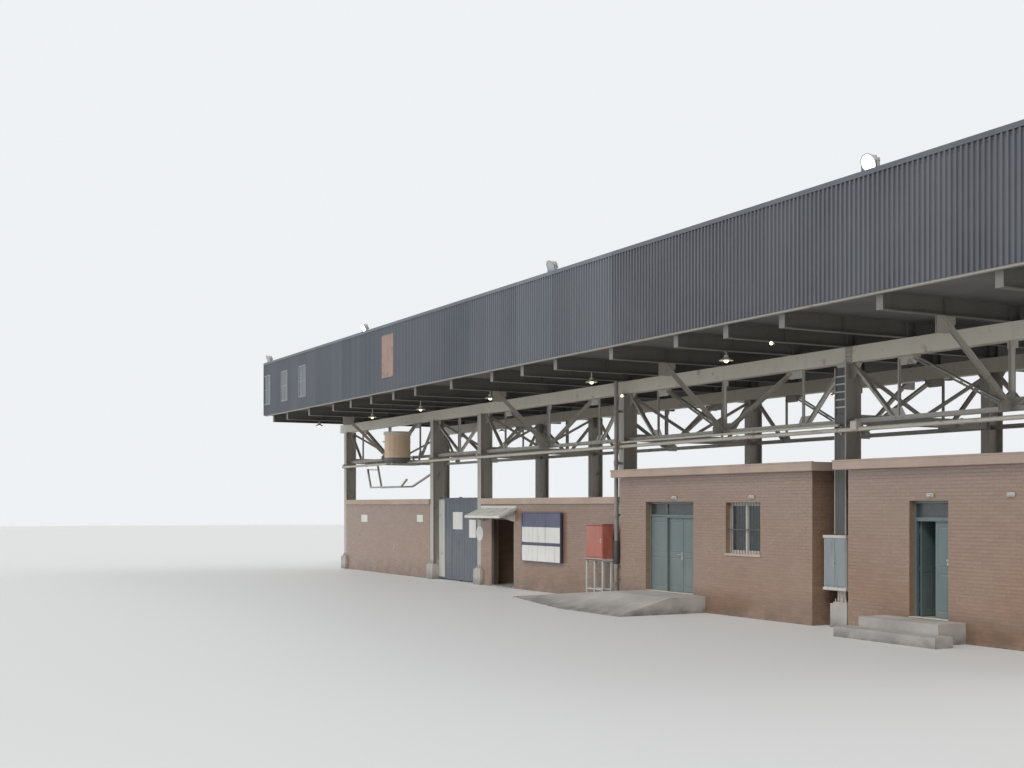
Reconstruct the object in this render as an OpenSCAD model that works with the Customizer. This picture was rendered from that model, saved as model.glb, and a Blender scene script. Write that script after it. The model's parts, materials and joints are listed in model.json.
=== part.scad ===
// Elevated conveyor gallery on a steel trestle, with tiled switch rooms between its legs.
// X runs along the gallery, -Y is the front with the room doors, Z is up. Millimetres.

/* [Trestle] */
// Length of each long bay, from bent to bent
long_bay = 8450; // [8200:50:8600]
// Length of the one short bay
short_bay = 3700; // [3500:50:3900]
// Distance between the front and the rear row of columns
row_gap = 4200; // [4000:50:4400]
// Underside of the top chords, which is also the head of the columns
chord_z = 5520; // [5450:10:5600]
// Depth of the top chords
chord_h = 330; // [300:10:360]
// Underside of the bottom chords
bottom_z = 4250; // [4150:10:4350]
// Width of a column flange
column_w = 250; // [220:10:280]
// Depth of a column from flange to flange
column_d = 420; // [380:10:440]
// Height of the concrete plinths
plinth_h = 500; // [400:10:600]

/* [Gallery] */
// How far the gallery runs past the end bents, up to the end walls
gallery_past = 900; // [700:10:950]
// Reach of the gallery's outer girts from the middle
gallery_half = 5400; // [5300:10:5500]
// Depth of the cross beams that carry the floor
beam_h = 330; // [300:10:360]
// Height of the cladding sheets
clad_h = 2090; // [2000:10:2200]
// Depth of the ribs in the cladding
rib_h = 40; // [30:5:45]
// Spacing of the ribs in the cladding
rib_pitch = 400; // [380:10:500]
// Rise of the roof from eaves to ridge
roof_rise = 270; // [200:10:320]

/* [Rooms] */
// Height of the walls of the two tall rooms
tall_wall_h = 3285; // [3150:5:3320]
// Height of the walls of the two low rooms
low_wall_h = 2600; // [2500:10:2700]
// Thickness of the room walls
wall_t = 240; // [200:10:250]
// Reach of the tall rooms' wall faces from the middle
tall_half = 2560; // [2550:10:2600]
// Level of the tall rooms' floors
floor_z = 400; // [380:10:420]
// Height of the doorways above the floor
doorway_h = 2240; // [2200:10:2280]
// Height of the fixed panel over the door leaves
transom_h = 370; // [350:10:380]

/* [Hidden] */

half_run = (4 * long_bay + short_bay) / 2;
bent_x = [for (step = [[0, 0], [1, 0], [1, 1], [2, 1], [3, 1], [4, 1]])
    step[0] * long_bay + step[1] * short_bay - half_run];
long_bays = [0, 2, 3, 4];
row_y = row_gap / 2;
column_face = row_y + column_d / 2;
chord_top = chord_z + chord_h;
beam_top = chord_top + beam_h;
gallery_end = half_run + gallery_past;
clad_z = beam_top - 30;
clad_top = clad_z + clad_h;
eaves_z = clad_top - 140;
roof_t = 40;
sheet_t = 12;
patch_t = 6;
end_t = 60;
deck_t = 50;
edge_h = 60;
flange_t = 18;
web_t = 12;
plinth = [500, 600];
base = [400, 520, 30];
cradle_bar = 60;
chord_w = 250;
chord_past = 800;

// Truss panel points measured from the bent: foot of the end diagonal, thin post, top gusset
first_node = 1290;
thin_post = 1420;
gusset_x = [1395, 2000];
gusset_h = 180;
truss_bar = 90;
truss_d = 110;
bottom_h = 100;

// Cross beams stand at the bents, over the gussets and at mid bay
over_gusset = (gusset_x[0] + gusset_x[1]) / 2;
beam_offsets = [0, over_gusset, long_bay / 2, long_bay - over_gusset];
beam_x = concat(
    [for (bay = long_bays) for (offset = beam_offsets) bent_x[bay] + offset],
    [bent_x[1], bent_x[1] + short_bay / 2, bent_x[5]]);
post_x = concat(
    [for (bay = long_bays) for (third = [0, 1, 2]) bent_x[bay] + third * long_bay / 3],
    [bent_x[1], bent_x[1] + short_bay / 2, bent_x[5]]);

// Tall rooms: a stands between the two near bents, b in the next bay
room_a = [bent_x[4] + 470, bent_x[5] - 300];
room_b = [bent_x[3] + 350, bent_x[4] - 620];
door_a = [room_a[0] + 1690, room_a[0] + 2670];
door_b = [room_b[0] + 1190, room_b[0] + 3230];
window_b = [room_b[0] + 4500, room_b[0] + 5750];
window_z = [1440, 2620];
window_set_back = 120;
slab_t = 180;
tall_eaves = 240;
low_eaves = 60;
room_c = [bent_x[2] + column_w / 2, bent_x[3] - column_w / 2];
room_e = [bent_x[0] + column_w / 2, bent_x[1] - column_w / 2];
low_half = column_face;
doorway_top = floor_z + doorway_h;

// Doors stand back in their openings and their leaves swing into the room
door_front = -tall_half + 120;
door_back = -tall_half + 220;
frame_w = 50;
leaf_t = 45;
leaf_gap = 6;
meeting_gap = 14;
leaf_z = floor_z + 12;
leaf_h = doorway_h - transom_h - 24;
clear_a = door_a[1] - door_a[0] - 2 * frame_w - 2 * leaf_gap - meeting_gap;
clear_b = door_b[1] - door_b[0] - 2 * frame_w - 2 * leaf_gap - meeting_gap;
leaf_a = clear_a / 2;
fixed_b = 665;
mullion_x = door_b[0] + frame_w + fixed_b;
leaf_b = (clear_b - fixed_b - frame_w) / 2;

// The low room's open doorway, under its canopy
door_c = [room_c[0] + 755, room_c[0] + 2255];
door_c_top = 2150;
door_c_sill = 40;
door_c_front = -low_half + 60;
door_c_back = -low_half + 160;

// Gallery windows in the far bay
gallery_window_x = [bent_x[0] - 450, bent_x[0] + 1700, bent_x[0] + 3800];
gallery_window_w = 800;
gallery_window_z = [6550, 7720];
window_bay_end = bent_x[1] - 750;
patch_x = [bent_x[2] - 620, bent_x[2] + 340];
patch_z = [6560, 7900];

// Lamps hang from the gallery floor in one row outside each truss
lamp_x = [-17100, -11600, -7450, -2500, 3100, 8600];
lamp_y = -4000;
globe_z = 5610;
wall_lamp_x = [4660, 7670, 13010, 14900];
wall_lamp_z = 2740;
flood_x = [-19400, -9110, 3340, 14270];
collector_x = -11900;
collector_y = -2920;
collector_z = [4060, 5160];

board_x = room_c[0] + 2955;
board_w = 2340;
board_d = 100;
board_z = [884, 2352];
screen_y = [-row_y - 20, -row_y + 20];
cabinet_x = bent_x[3] - 900;
cabinet_y = -column_face - 550;
cabinet_z = 1135;
cabinet_w = 850;
cabinet_d = 310;
cabinet_h = 910;

// Underside of the roof sheets at a distance from the middle
function roof_under(y) = eaves_z - roof_t / 2 + roof_rise * (1 - abs(y) / gallery_half);

pale_steel = [0.72, 0.69, 0.62];
grey_steel = [0.42, 0.41, 0.38];
clad_blue = [0.17, 0.21, 0.27];
tile_brown = [0.43, 0.31, 0.25];
slab_pink = [0.68, 0.58, 0.52];
teal_grey = [0.34, 0.47, 0.47];
concrete = [0.6, 0.58, 0.54];

// A block given by its low and high corners
module block(low, high) {
    translate(low) cube(high - low);
}

// A profile given by its points in Y and Z, extruded along X and centred on x = 0
module cross_profile(points, thick) {
    translate([-thick / 2, 0, 0])
        rotate([90, 0, 90]) linear_extrude(thick) polygon(points);
}

// An I section standing along Z, web along Y
module i_post(width, depth, height) {
    block([-width / 2, -depth / 2, 0], [width / 2, -depth / 2 + flange_t, height]);
    block([-width / 2, depth / 2 - flange_t, 0], [width / 2, depth / 2, height]);
    block([-web_t / 2, -depth / 2, 0], [web_t / 2, depth / 2, height]);
}

// A flat bar in the XZ plane from one point to another
module flat_bar(from, to, width, thick) {
    run = norm(to - from);
    translate([from[0], 0, from[1]])
        rotate([0, -atan2(to[1] - from[1], to[0] - from[0]), 0])
            translate([0, -thick / 2, -width / 2]) cube([run, thick, width]);
}

// Two thin bars side by side with a slot between them
module double_bar(from, to, width) {
    for (side = [-1, 1])
        translate([0, side * (truss_d / 2 - 12), 0]) flat_bar(from, to, width, 24);
}

// Everything inside is drawn at the front and mirrored to the rear
module both_sides() {
    children();
    mirror([0, 1, 0]) children();
}

module plinth_at(x, height) {
    translate([x - plinth[0] / 2, -row_y - plinth[1] / 2, 0]) cube([plinth[0], plinth[1], height]);
}

module plinths() {
    color(concrete)
        both_sides() for (x = bent_x) plinth_at(x, plinth_h);
}

module column() {
    translate([0, 0, plinth_h]) {
        translate([-base[0] / 2, -base[1] / 2, 0]) cube(base);
        i_post(column_w, column_d, chord_z - plinth_h);
    }
}

// Splice plate across the front of the top chord, beside one column
module chord_splice() {
    front = -chord_w / 2;
    block([20, front - flange_t, chord_z], [220, front, chord_top]);
}

module columns() {
    color(grey_steel) {
        both_sides() for (x = bent_x) translate([x, -row_y, 0]) column();
        translate([bent_x[4], -row_y, 0]) chord_splice();
    }
}

// Tie beam and raking struts across each bent
module bent_ties() {
    inner = row_y - column_d / 2;
    tie = [150, 200];
    strut = [60, 80];
    foot = bottom_z + tie[1] - 40;
    head = chord_z - 60;
    rake = [[0, foot], [0, foot + strut[1]], [-inner, head], [-inner, head - strut[1]]];
    color(grey_steel)
        for (x = bent_x)
            translate([x, 0, 0]) {
                block([-tie[0] / 2, -inner, bottom_z], [tie[0] / 2, inner, bottom_z + tie[1]]);
                both_sides() cross_profile(rake, strut[0]);
            }
}

module top_chords() {
    side = chord_w / 2;
    run = 2 * half_run + 2 * chord_past;
    color(pale_steel)
        both_sides()
            translate([-half_run - chord_past, -row_y, chord_z]) {
                block([0, -side, 0], [run, side, flange_t]);
                block([0, -side, chord_h - flange_t], [run, side, chord_h]);
                block([0, -side, 0], [run, -side + web_t, chord_h]);
                block([0, side - web_t, 0], [run, side, chord_h]);
            }
}

// Plate under the top chord, square at the thin post and cut back at its inner end
module top_gusset() {
    inner = gusset_x[1];
    translate([0, 8, chord_z])
        rotate([90, 0, 0])
            linear_extrude(16)
                polygon([[gusset_x[0], 0], [inner, 0], [inner, -gusset_h * 0.6],
                    [inner - 120, -gusset_h], [gusset_x[0], -gusset_h]]);
}

// Plate on the bottom chord
module foot_gusset(x) {
    translate([x, 8, bottom_z + bottom_h / 2])
        rotate([90, 0, 0])
            linear_extrude(16) polygon([[-220, 0], [220, 0], [120, 190], [-120, 190]]);
}

// Half of a long bay's web: end diagonal, thin post, double main diagonal
module half_web() {
    low_z = bottom_z + bottom_h / 2;
    flat_bar([0, chord_z + 100], [first_node, low_z], truss_bar, truss_d - 30);
    flat_bar([thin_post, low_z], [thin_post, chord_z], 50, 50);
    double_bar([gusset_x[1] - 80, chord_z - gusset_h / 2], [long_bay / 2, low_z], 75);
    top_gusset();
    foot_gusset(first_node + 80);
}

module long_web() {
    low_z = bottom_z + bottom_h / 2;
    intersection() {
        block([web_t / 2, -truss_d / 2, bottom_z], [long_bay - web_t / 2, truss_d / 2, chord_z]);
        union() {
            block([0, -truss_d / 2, bottom_z], [long_bay, truss_d / 2, bottom_z + bottom_h]);
            half_web();
            translate([long_bay, 0, 0]) mirror([1, 0, 0]) half_web();
            flat_bar([long_bay / 2, low_z], [long_bay / 2, chord_z], 110, truss_d);
            foot_gusset(long_bay / 2);
        }
    }
}

module short_web() {
    low_z = bottom_z + bottom_h / 2;
    intersection() {
        block([web_t / 2, -truss_d / 2, bottom_z], [short_bay - web_t / 2, truss_d / 2, chord_z]);
        union() {
            block([0, -truss_d / 2, bottom_z], [short_bay, truss_d / 2, bottom_z + bottom_h]);
            flat_bar([0, chord_z - 90], [short_bay / 2, low_z], truss_bar, truss_d - 30);
            flat_bar([short_bay / 2, low_z], [short_bay, chord_z - 90], truss_bar, truss_d - 30);
            flat_bar([short_bay / 2, low_z], [short_bay / 2, chord_z], 110, truss_d);
            foot_gusset(short_bay / 2);
        }
    }
}

module trusses() {
    color(grey_steel)
        both_sides() {
            for (bay = long_bays) translate([bent_x[bay], -row_y, 0]) long_web();
            translate([bent_x[1], -row_y, 0]) short_web();
        }
}

module floor_beams() {
    reach = gallery_half - 100;
    side = 80;
    color(grey_steel)
        for (x = beam_x)
            translate([x, 0, chord_top]) {
                block([-side, -reach, 0], [side, reach, flange_t]);
                block([-side, -reach, beam_h - flange_t], [side, reach, beam_h]);
                block([-web_t / 2, -reach, 0], [web_t / 2, reach, beam_h]);
            }
}

// Pairs of raking bars from the foot of the mid posts out to the cross beams
module knee_braces() {
    foot = [-row_y - truss_d / 2, bottom_z];
    reach = 1810;
    rise = chord_top - bottom_z;
    depth = 120;
    bar_t = 20;
    slot = 48;
    rake = [foot, foot + [0, depth], [foot[0] - reach * (1 - depth / rise), chord_top],
        [foot[0] - reach, chord_top]];
    color(grey_steel)
        both_sides()
            for (bay = long_bays)
                for (side = [-1, 1])
                    translate([bent_x[bay] + long_bay / 2 + side * (slot + bar_t) / 2, 0, 0])
                        cross_profile(rake, bar_t);
}

module edge_beams() {
    color(grey_steel)
        both_sides()
            block([-gallery_end + end_t, -gallery_half, beam_top - edge_h],
                [gallery_end - end_t, -gallery_half + 100, beam_top]);
}

module side_frames() {
    deck_top = beam_top + deck_t;
    girt_z = [deck_top, deck_top + 900, eaves_z - 100];
    color(grey_steel)
        both_sides() {
            for (z = girt_z)
                block([-gallery_end + end_t, -gallery_half, z],
                    [gallery_end - end_t, -gallery_half + 60, z + 80]);
            for (x = post_x)
                block([x - 60, -gallery_half, deck_top], [x + 60, -gallery_half + 120, eaves_z - 20]);
        }
}

module rafters() {
    inner = gallery_half - 120;
    depth = 160;
    upper = [[-inner, roof_under(inner)], [0, roof_under(0)], [inner, roof_under(inner)]];
    lower = [for (i = [2, 1, 0]) upper[i] - [0, depth]];
    color(grey_steel)
        for (x = post_x)
            translate([x, 0, 0]) cross_profile(concat(upper, lower), 100);
}

module gallery_floor() {
    color(concrete)
        block([-gallery_end + end_t, -gallery_half, beam_top],
            [gallery_end - end_t, gallery_half, beam_top + deck_t]);
}

// One rib and the flat before it: share of the pitch, and share of the rib's depth
rib_shape = [[0, 0], [0.45, 0], [0.6, 1], [0.85, 1]];

// Sheet standing on z, seen from above as a line of ribs that stand out by rib_h
module ribbed_sheet(from, to, z, height) {
    count = floor((to - from) / rib_pitch);
    ribs = [for (i = [0 : count - 1]) for (corner = rib_shape)
        [from + (i + corner[0]) * rib_pitch, corner[1] * (rib_h - sheet_t)]];
    inner = concat(ribs, [[to, 0]]);
    outer = [for (point = inner) point + [0, sheet_t]];
    translate([0, 0, z])
        mirror([0, 1, 0])
            linear_extrude(height)
                polygon(concat(inner, [for (i = [len(outer) - 1 : -1 : 0]) outer[i]]));
}

module side_cladding() {
    color(clad_blue) {
        translate([0, -gallery_half, 0]) ribbed_sheet(window_bay_end, gallery_end, clad_z, clad_h);
        mirror([0, 1, 0])
            translate([0, -gallery_half, 0]) ribbed_sheet(-gallery_end, gallery_end, clad_z, clad_h);
    }
}

module window_cladding() {
    color(clad_blue)
        translate([0, -gallery_half, 0])
            difference() {
                ribbed_sheet(-gallery_end, window_bay_end, clad_z, clad_h);
                for (x = gallery_window_x)
                    block([x - gallery_window_w / 2, -100, gallery_window_z[0]],
                        [x + gallery_window_w / 2, 100, gallery_window_z[1]]);
            }
}

// Plain sheet fixed over the ribs
module patch_panel() {
    color([0.42, 0.25, 0.18])
        translate([0, -gallery_half - rib_h, 0])
            block([patch_x[0], -patch_t, patch_z[0]], [patch_x[1], 0, patch_z[1]]);
}

module end_cladding() {
    color(clad_blue)
        for (side = [-1, 1])
            translate([side * (gallery_end - end_t / 2), 0, 0])
                cross_profile([[-gallery_half, clad_z], [gallery_half, clad_z],
                    [gallery_half, roof_under(gallery_half)], [0, roof_under(0)],
                    [-gallery_half, roof_under(gallery_half)]], end_t);
}

module gallery_roof() {
    under = [[-gallery_half, roof_under(gallery_half)], [0, roof_under(0)],
        [gallery_half, roof_under(gallery_half)]];
    color(clad_blue)
        cross_profile(concat(under, [for (i = [2, 1, 0]) under[i] + [0, roof_t]]), 2 * gallery_end);
}

module gallery_windows() {
    half = gallery_window_w / 2;
    bar = 50;
    color([0.55, 0.6, 0.62])
        for (x = gallery_window_x)
            translate([x, -gallery_half, 0]) {
                difference() {
                    block([-half, -rib_h, gallery_window_z[0]], [half, 0, gallery_window_z[1]]);
                    block([bar - half, -rib_h - 1, gallery_window_z[0] + bar],
                        [half - bar, 1, gallery_window_z[1] - bar]);
                }
                block([bar - half, -25, gallery_window_z[0] + bar],
                    [half - bar, -19, gallery_window_z[1] - bar]);
            }
}

// Floodlight heads in yokes on short posts that stand on the roof edge
module floodlights() {
    post_y = -gallery_half + 130;
    post = [60, 60, 60];
    yoke = [400, 80, 20];
    arm = [20, 60, 240];
    pivot_z = 280;
    head = [110, 180, 120];
    head_tilt = 115;
    foot = roof_under(post_y + post[1] / 2) + roof_t;
    color([0.5, 0.5, 0.48])
        for (x = flood_x)
            translate([x, post_y, foot]) {
                translate([-post[0] / 2, -post[1] / 2, 0]) cube(post);
                translate([-yoke[0] / 2, -yoke[1] / 2, post[2]]) cube(yoke);
                for (side = [-1, 1])
                    translate([side * (yoke[0] - arm[0]) / 2 - arm[0] / 2, -arm[1] / 2, post[2] + yoke[2]])
                        cube(arm);
                translate([0, 0, pivot_z])
                    rotate([head_tilt, 0, 0])
                        cylinder(h = head[2], r1 = head[0], r2 = head[1], center = true, $fn = 24);
            }
}

// A lamp hangs from the cross beam over it, or else from the floor
function hang_z(x) = min([for (beam = beam_x) abs(beam - x) < 120 ? chord_top : beam_top]);

// Globe, shade and stem
module hanging_lamp(stem_top) {
    shade_z = 40;
    stem_z = 100;
    translate([0, 0, stem_z]) cylinder(h = stem_top - stem_z, d = 30, $fn = 16);
    translate([0, 0, shade_z]) cylinder(h = 70, r1 = 150, r2 = 50, $fn = 24);
    cylinder(h = shade_z + 2, d = 130, $fn = 24);
}

// Bulkhead lamp on a wall face at y = 0: a box with its lens before it
module wall_lamp() {
    box = [160, 40, 80];
    lens = [120, 40, 50];
    translate([-box[0] / 2, -box[1], -box[2] / 2]) cube(box);
    translate([-lens[0] / 2, -box[1] - lens[1], -30]) cube(lens);
}

module lamps() {
    color([0.8, 0.78, 0.7]) {
        both_sides()
            for (x = lamp_x) translate([x, lamp_y, globe_z]) hanging_lamp(hang_z(x) - globe_z);
        for (x = wall_lamp_x) translate([x, -tall_half, wall_lamp_z]) wall_lamp();
    }
}

// Pale service pipe on brackets along the front columns, doubled in one bay, with a junction box
module service_pipes() {
    pipe_y = -column_face - 80;
    main_z = bottom_z - 140;
    second_z = bottom_z - 30;
    main_d = 90;
    second_d = 60;
    box = [190, 130, 190];
    color(pale_steel) {
        translate([-half_run, pipe_y, main_z])
            rotate([0, 90, 0]) cylinder(h = 2 * half_run, d = main_d, $fn = 24);
        translate([bent_x[3], pipe_y, second_z])
            rotate([0, 90, 0]) cylinder(h = long_bay, d = second_d, $fn = 24);
        for (bent = [0, 1, 2, 3, 5])
            translate([bent_x[bent], 0, 0])
                block([-40, pipe_y - 20, main_z], [40, -column_face, second_z]);
        translate([bent_x[4] + 420, pipe_y - 75, main_z - 20]) cube(box);
    }
}

// Rainwater pipe in front of a column, held by straps
module downpipe() {
    pipe = [bent_x[3] + 50, -column_face - 190];
    pipe_d = 110;
    collar = [140, 60];
    first_strap = 900;
    strap_pitch = 1370;
    color([0.45, 0.42, 0.38])
        translate([pipe[0], pipe[1], 0]) {
            cylinder(h = chord_top - 10, d = pipe_d, $fn = 24);
            for (z = [first_strap : strap_pitch : chord_z])
                translate([0, 0, z]) {
                    cylinder(h = collar[1], d = collar[0], $fn = 24);
                    block([-20, 0, 0], [20, -column_face - pipe[1], collar[1]]);
                }
        }
}

// Cable ladder up the front of a column, covered over its lower part
module cable_ladder() {
    half = 170;
    depth = 30;
    rail = 20;
    rung_h = 30;
    rung_pitch = 160;
    low = tall_wall_h + slab_t;
    top = chord_z - 100;
    cover_top = top - 960;
    color([0.55, 0.55, 0.52])
        translate([bent_x[4] - 20, -column_face, 0]) {
            for (side = [-1, 1])
                translate([side * (half - rail / 2), 0, 0])
                    block([-rail / 2, -depth, low], [rail / 2, 0, top]);
            for (z = [cover_top + 120 : rung_pitch : top - 60])
                block([-half, -depth + 5, z], [half, -5, z + rung_h]);
            block([-half, -15, low], [half, -5, cover_top]);
        }
}

// Round housing with a cone under it and a rim round its top
module dust_collector() {
    radius = 460;
    cone_h = 130;
    rim_h = 60;
    height = collector_z[1] - collector_z[0];
    color([0.82, 0.66, 0.5])
        translate([collector_x, collector_y, collector_z[0]]) {
            cylinder(h = cone_h, r1 = radius - 160, r2 = radius, $fn = 48);
            translate([0, 0, cone_h]) cylinder(h = height - cone_h - rim_h / 2, r = radius, $fn = 48);
            translate([0, 0, height - rim_h]) cylinder(h = rim_h, r = radius + 25, $fn = 48);
        }
}

// Cantilever arms under the collector, and the light cradle below them
module collector_bracket() {
    arm_top = collector_z[0];
    truss_face = -row_y - truss_d / 2;
    color(grey_steel) {
        for (side = [-1, 1])
            translate([collector_x + side * 260, 0, 0]) {
                block([-30, collector_y - 350, arm_top - 70], [30, truss_face, arm_top]);
                block([-30, truss_face - 60, arm_top - 70], [30, truss_face, bottom_z + bottom_h]);
            }
        block([collector_x - 290, truss_face - 60, arm_top - 70], [collector_x + 290, truss_face, arm_top]);
        hanging_cradle();
    }
}

// One side of the cradle, as a round-cornered band through its corners in X and Z
module cradle_side(corners) {
    rotate([90, 0, 0])
        linear_extrude(cradle_bar)
            for (i = [0 : len(corners) - 2])
                hull() {
                    translate(corners[i]) circle(d = cradle_bar, $fn = 12);
                    translate(corners[i + 1]) circle(d = cradle_bar, $fn = 12);
                }
}

// Cradle that hangs below the truss and runs up to the next column
module hanging_cradle() {
    half_bar = cradle_bar / 2;
    low = 3240;
    left = [bent_x[0] + 2910, bottom_z - half_bar];
    foot = [[left[0] + 450, low], [left[0] + 3390, low]];
    front_top = left + (foot[0] - left) * 0.3;
    column_end = [bent_x[1] - column_w / 2 - half_bar, 3750];
    rear_y = -row_y + half_bar;
    front_y = rear_y - 440;
    translate([0, rear_y, 0]) cradle_side([left, foot[0], foot[1], column_end]);
    translate([0, front_y, 0]) cradle_side([front_top, foot[0], foot[1], foot[1] + [490, 240]]);
    for (joint = [front_top, foot[0], foot[1]])
        translate([joint[0], 0, joint[1]])
            block([-15, front_y - half_bar, -15], [15, rear_y - half_bar, 15]);
}

// Front walls without a window, in their pieces beside the doorways
module front_walls() {
    color(tile_brown)
        translate([0, -tall_half, 0]) {
            block([room_a[0], 0, 0], [door_a[0], wall_t, tall_wall_h]);
            block([door_a[1], 0, 0], [room_a[1], wall_t, tall_wall_h]);
            block([room_b[0], 0, 0], [door_b[0], wall_t, tall_wall_h]);
        }
}

module window_wall() {
    color(tile_brown)
        translate([0, -tall_half, 0])
            difference() {
                block([door_b[1], 0, 0], [room_b[1], wall_t, tall_wall_h]);
                block([window_b[0], -1, window_z[0]], [window_b[1], wall_t + 1, window_z[1]]);
            }
}

module door_lintels() {
    color(tile_brown)
        for (door = [door_a, door_b])
            block([door[0], -tall_half, doorway_top], [door[1], -tall_half + wall_t, tall_wall_h]);
}

// Rear and end walls of a tall room
module back_walls() {
    color(tile_brown)
        for (room = [room_a, room_b])
            difference() {
                block([room[0], -tall_half + wall_t, 0], [room[1], tall_half, tall_wall_h]);
                block([room[0] + wall_t, -tall_half, -1],
                    [room[1] - wall_t, tall_half - wall_t, tall_wall_h + 1]);
            }
}

// Four walls of each low room, cut back round the plinths at its corners; one has a doorway
module low_room_walls() {
    color(tile_brown)
        difference() {
            for (room = [room_c, room_e])
                difference() {
                    block([room[0], -low_half, 0], [room[1], low_half, low_wall_h]);
                    block([room[0] + wall_t, -low_half + wall_t, -1],
                        [room[1] - wall_t, low_half - wall_t, low_wall_h + 1]);
                }
            both_sides()
                for (x = bent_x) translate([0, 0, -1]) plinth_at(x, plinth_h + base[2] + 1);
            block([door_c[0], -low_half - 1, -1], [door_c[1], -low_half + wall_t + 1, door_c_top]);
        }
}

// Floors, each with the threshold that fills the wall under its doorway
module room_floors() {
    color(concrete)
        for (pair = [[room_a, door_a], [room_b, door_b]]) {
            block([pair[0][0] + wall_t, -tall_half + wall_t, 0],
                [pair[0][1] - wall_t, tall_half - wall_t, floor_z]);
            block([pair[1][0], -tall_half, 0], [pair[1][1], -tall_half + wall_t + 1, floor_z]);
        }
    color(concrete) {
        block([door_c[0], -low_half, 0], [door_c[1], -low_half + wall_t + 1, door_c_sill]);
        block([room_c[0] + wall_t, -low_half + wall_t, 0],
            [room_c[1] - wall_t, low_half - wall_t, door_c_sill]);
    }
}

// Slabs with the overhang on their front; each tall one also reaches past its end walls
module roof_slabs() {
    tall = [[room_a[0] - 210, room_a[1] + 100], [room_b[0] - 110, room_b[1] + 250]];
    color(slab_pink) {
        for (run = tall)
            block([run[0], -tall_half - tall_eaves, tall_wall_h],
                [run[1], tall_half + 200, tall_wall_h + slab_t]);
        for (run = [room_c, room_e])
            block([run[0], -low_half - low_eaves, low_wall_h],
                [run[1], low_half + 150, low_wall_h + slab_t]);
    }
}

// Steel frame of a doorway with its fixed panel over the leaves
module door_frame(door) {
    transom_z = doorway_top - transom_h;
    for (x = [door[0], door[1] - frame_w])
        block([x, door_front, floor_z], [x + frame_w, door_back, doorway_top]);
    for (z = [transom_z, doorway_top - frame_w])
        block([door[0], door_front, z], [door[1], door_back, z + frame_w]);
    block([door[0], door_front + 40, transom_z], [door[1], door_front + 60, doorway_top]);
}

// The wider frame also has a fixed panel beside its leaves
module door_frames() {
    color(teal_grey) {
        door_frame(door_a);
        door_frame(door_b);
        block([mullion_x, door_front, floor_z], [mullion_x + frame_w, door_back, doorway_top]);
        block([door_b[0], door_front + 40, floor_z], [mullion_x + 1, door_front + 60, doorway_top]);
        for (x = [door_c[0], door_c[1] - frame_w])
            block([x, door_c_front, door_c_sill], [x + frame_w, door_c_back, door_c_top]);
        block([door_c[0], door_c_front, door_c_top - frame_w], [door_c[1], door_c_back, door_c_top]);
    }
}

// A leaf that runs along +X from its hinge line, with two pressed panels on each face
module leaf(width) {
    margin = 60;
    pressed = 8;
    panels = [[0.06, 0.46], [0.52, 0.94]];
    translate([leaf_gap, 0, 0])
        difference() {
            block([0, 0, 0], [width, leaf_t, leaf_h]);
            for (panel = panels)
                for (face = [-1, leaf_t - pressed])
                    block([margin, face, panel[0] * leaf_h],
                        [width - margin, face + pressed + 1, panel[1] * leaf_h]);
        }
}

// Lever handle on the outer face of a leaf
module handle() {
    lever = [122, 14, 24];
    stand_off = 38;
    translate([0, 0, leaf_h / 2]) {
        rotate([90, 0, 0]) cylinder(h = stand_off + 2, d = lever[2], $fn = 24);
        translate([-lever[2] / 2, -stand_off - lever[1], -lever[2] / 2]) cube(lever);
    }
}

// Stands open into the room, as the doorway shows it
module door_a_main() {
    color(teal_grey)
        translate([door_a[0] + frame_w, door_back, leaf_z])
            rotate([0, 0, 90])
                translate([0, -leaf_t, 0]) leaf(leaf_a);
}

module door_a_side() {
    color(teal_grey)
        translate([door_a[1] - frame_w, door_back, leaf_z])
            mirror([1, 0, 0])
                translate([0, -leaf_t, 0]) leaf(leaf_a);
}

module door_b_left() {
    color(teal_grey)
        translate([mullion_x + frame_w, door_back, leaf_z])
            translate([0, -leaf_t, 0]) {
                leaf(leaf_b);
                translate([leaf_b - 40, 0, 0]) mirror([1, 0, 0]) handle();
            }
}

module door_b_right() {
    color(teal_grey)
        translate([door_b[1] - frame_w, door_back, leaf_z])
            mirror([1, 0, 0])
                translate([0, -leaf_t, 0]) leaf(leaf_b);
}

// Two casements in a frame, with a pane in each
module room_window() {
    size = [window_b[1] - window_b[0], window_z[1] - window_z[0]];
    bar = 50;
    pane = size[0] / 2 - bar * 1.5;
    color([0.7, 0.68, 0.6])
        translate([window_b[0], -tall_half + window_set_back, window_z[0]]) {
            difference() {
                block([0, 0, 0], [size[0], 60, size[1]]);
                for (x = [bar, size[0] / 2 + bar / 2])
                    block([x, -1, bar], [x + pane, 61, size[1] - bar]);
            }
            for (x = [bar, size[0] / 2 + bar / 2]) block([x, 27, bar], [x + pane, 33, size[1] - bar]);
        }
}

// Landing before the single door, and the wider tread below it
module entry_steps() {
    landing = [door_a[0] - 640, door_a[1] + 420];
    tread = [door_a[0] - 860, door_a[1] + 770];
    landing_y = -tall_half - 700;
    tread_y = landing_y - 440;
    color(concrete) {
        block([landing[0], landing_y, 0], [landing[1], -tall_half, floor_z - 10]);
        block([tread[0], tread_y, 0], [tread[1], landing_y, floor_z / 2]);
    }
}

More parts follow.
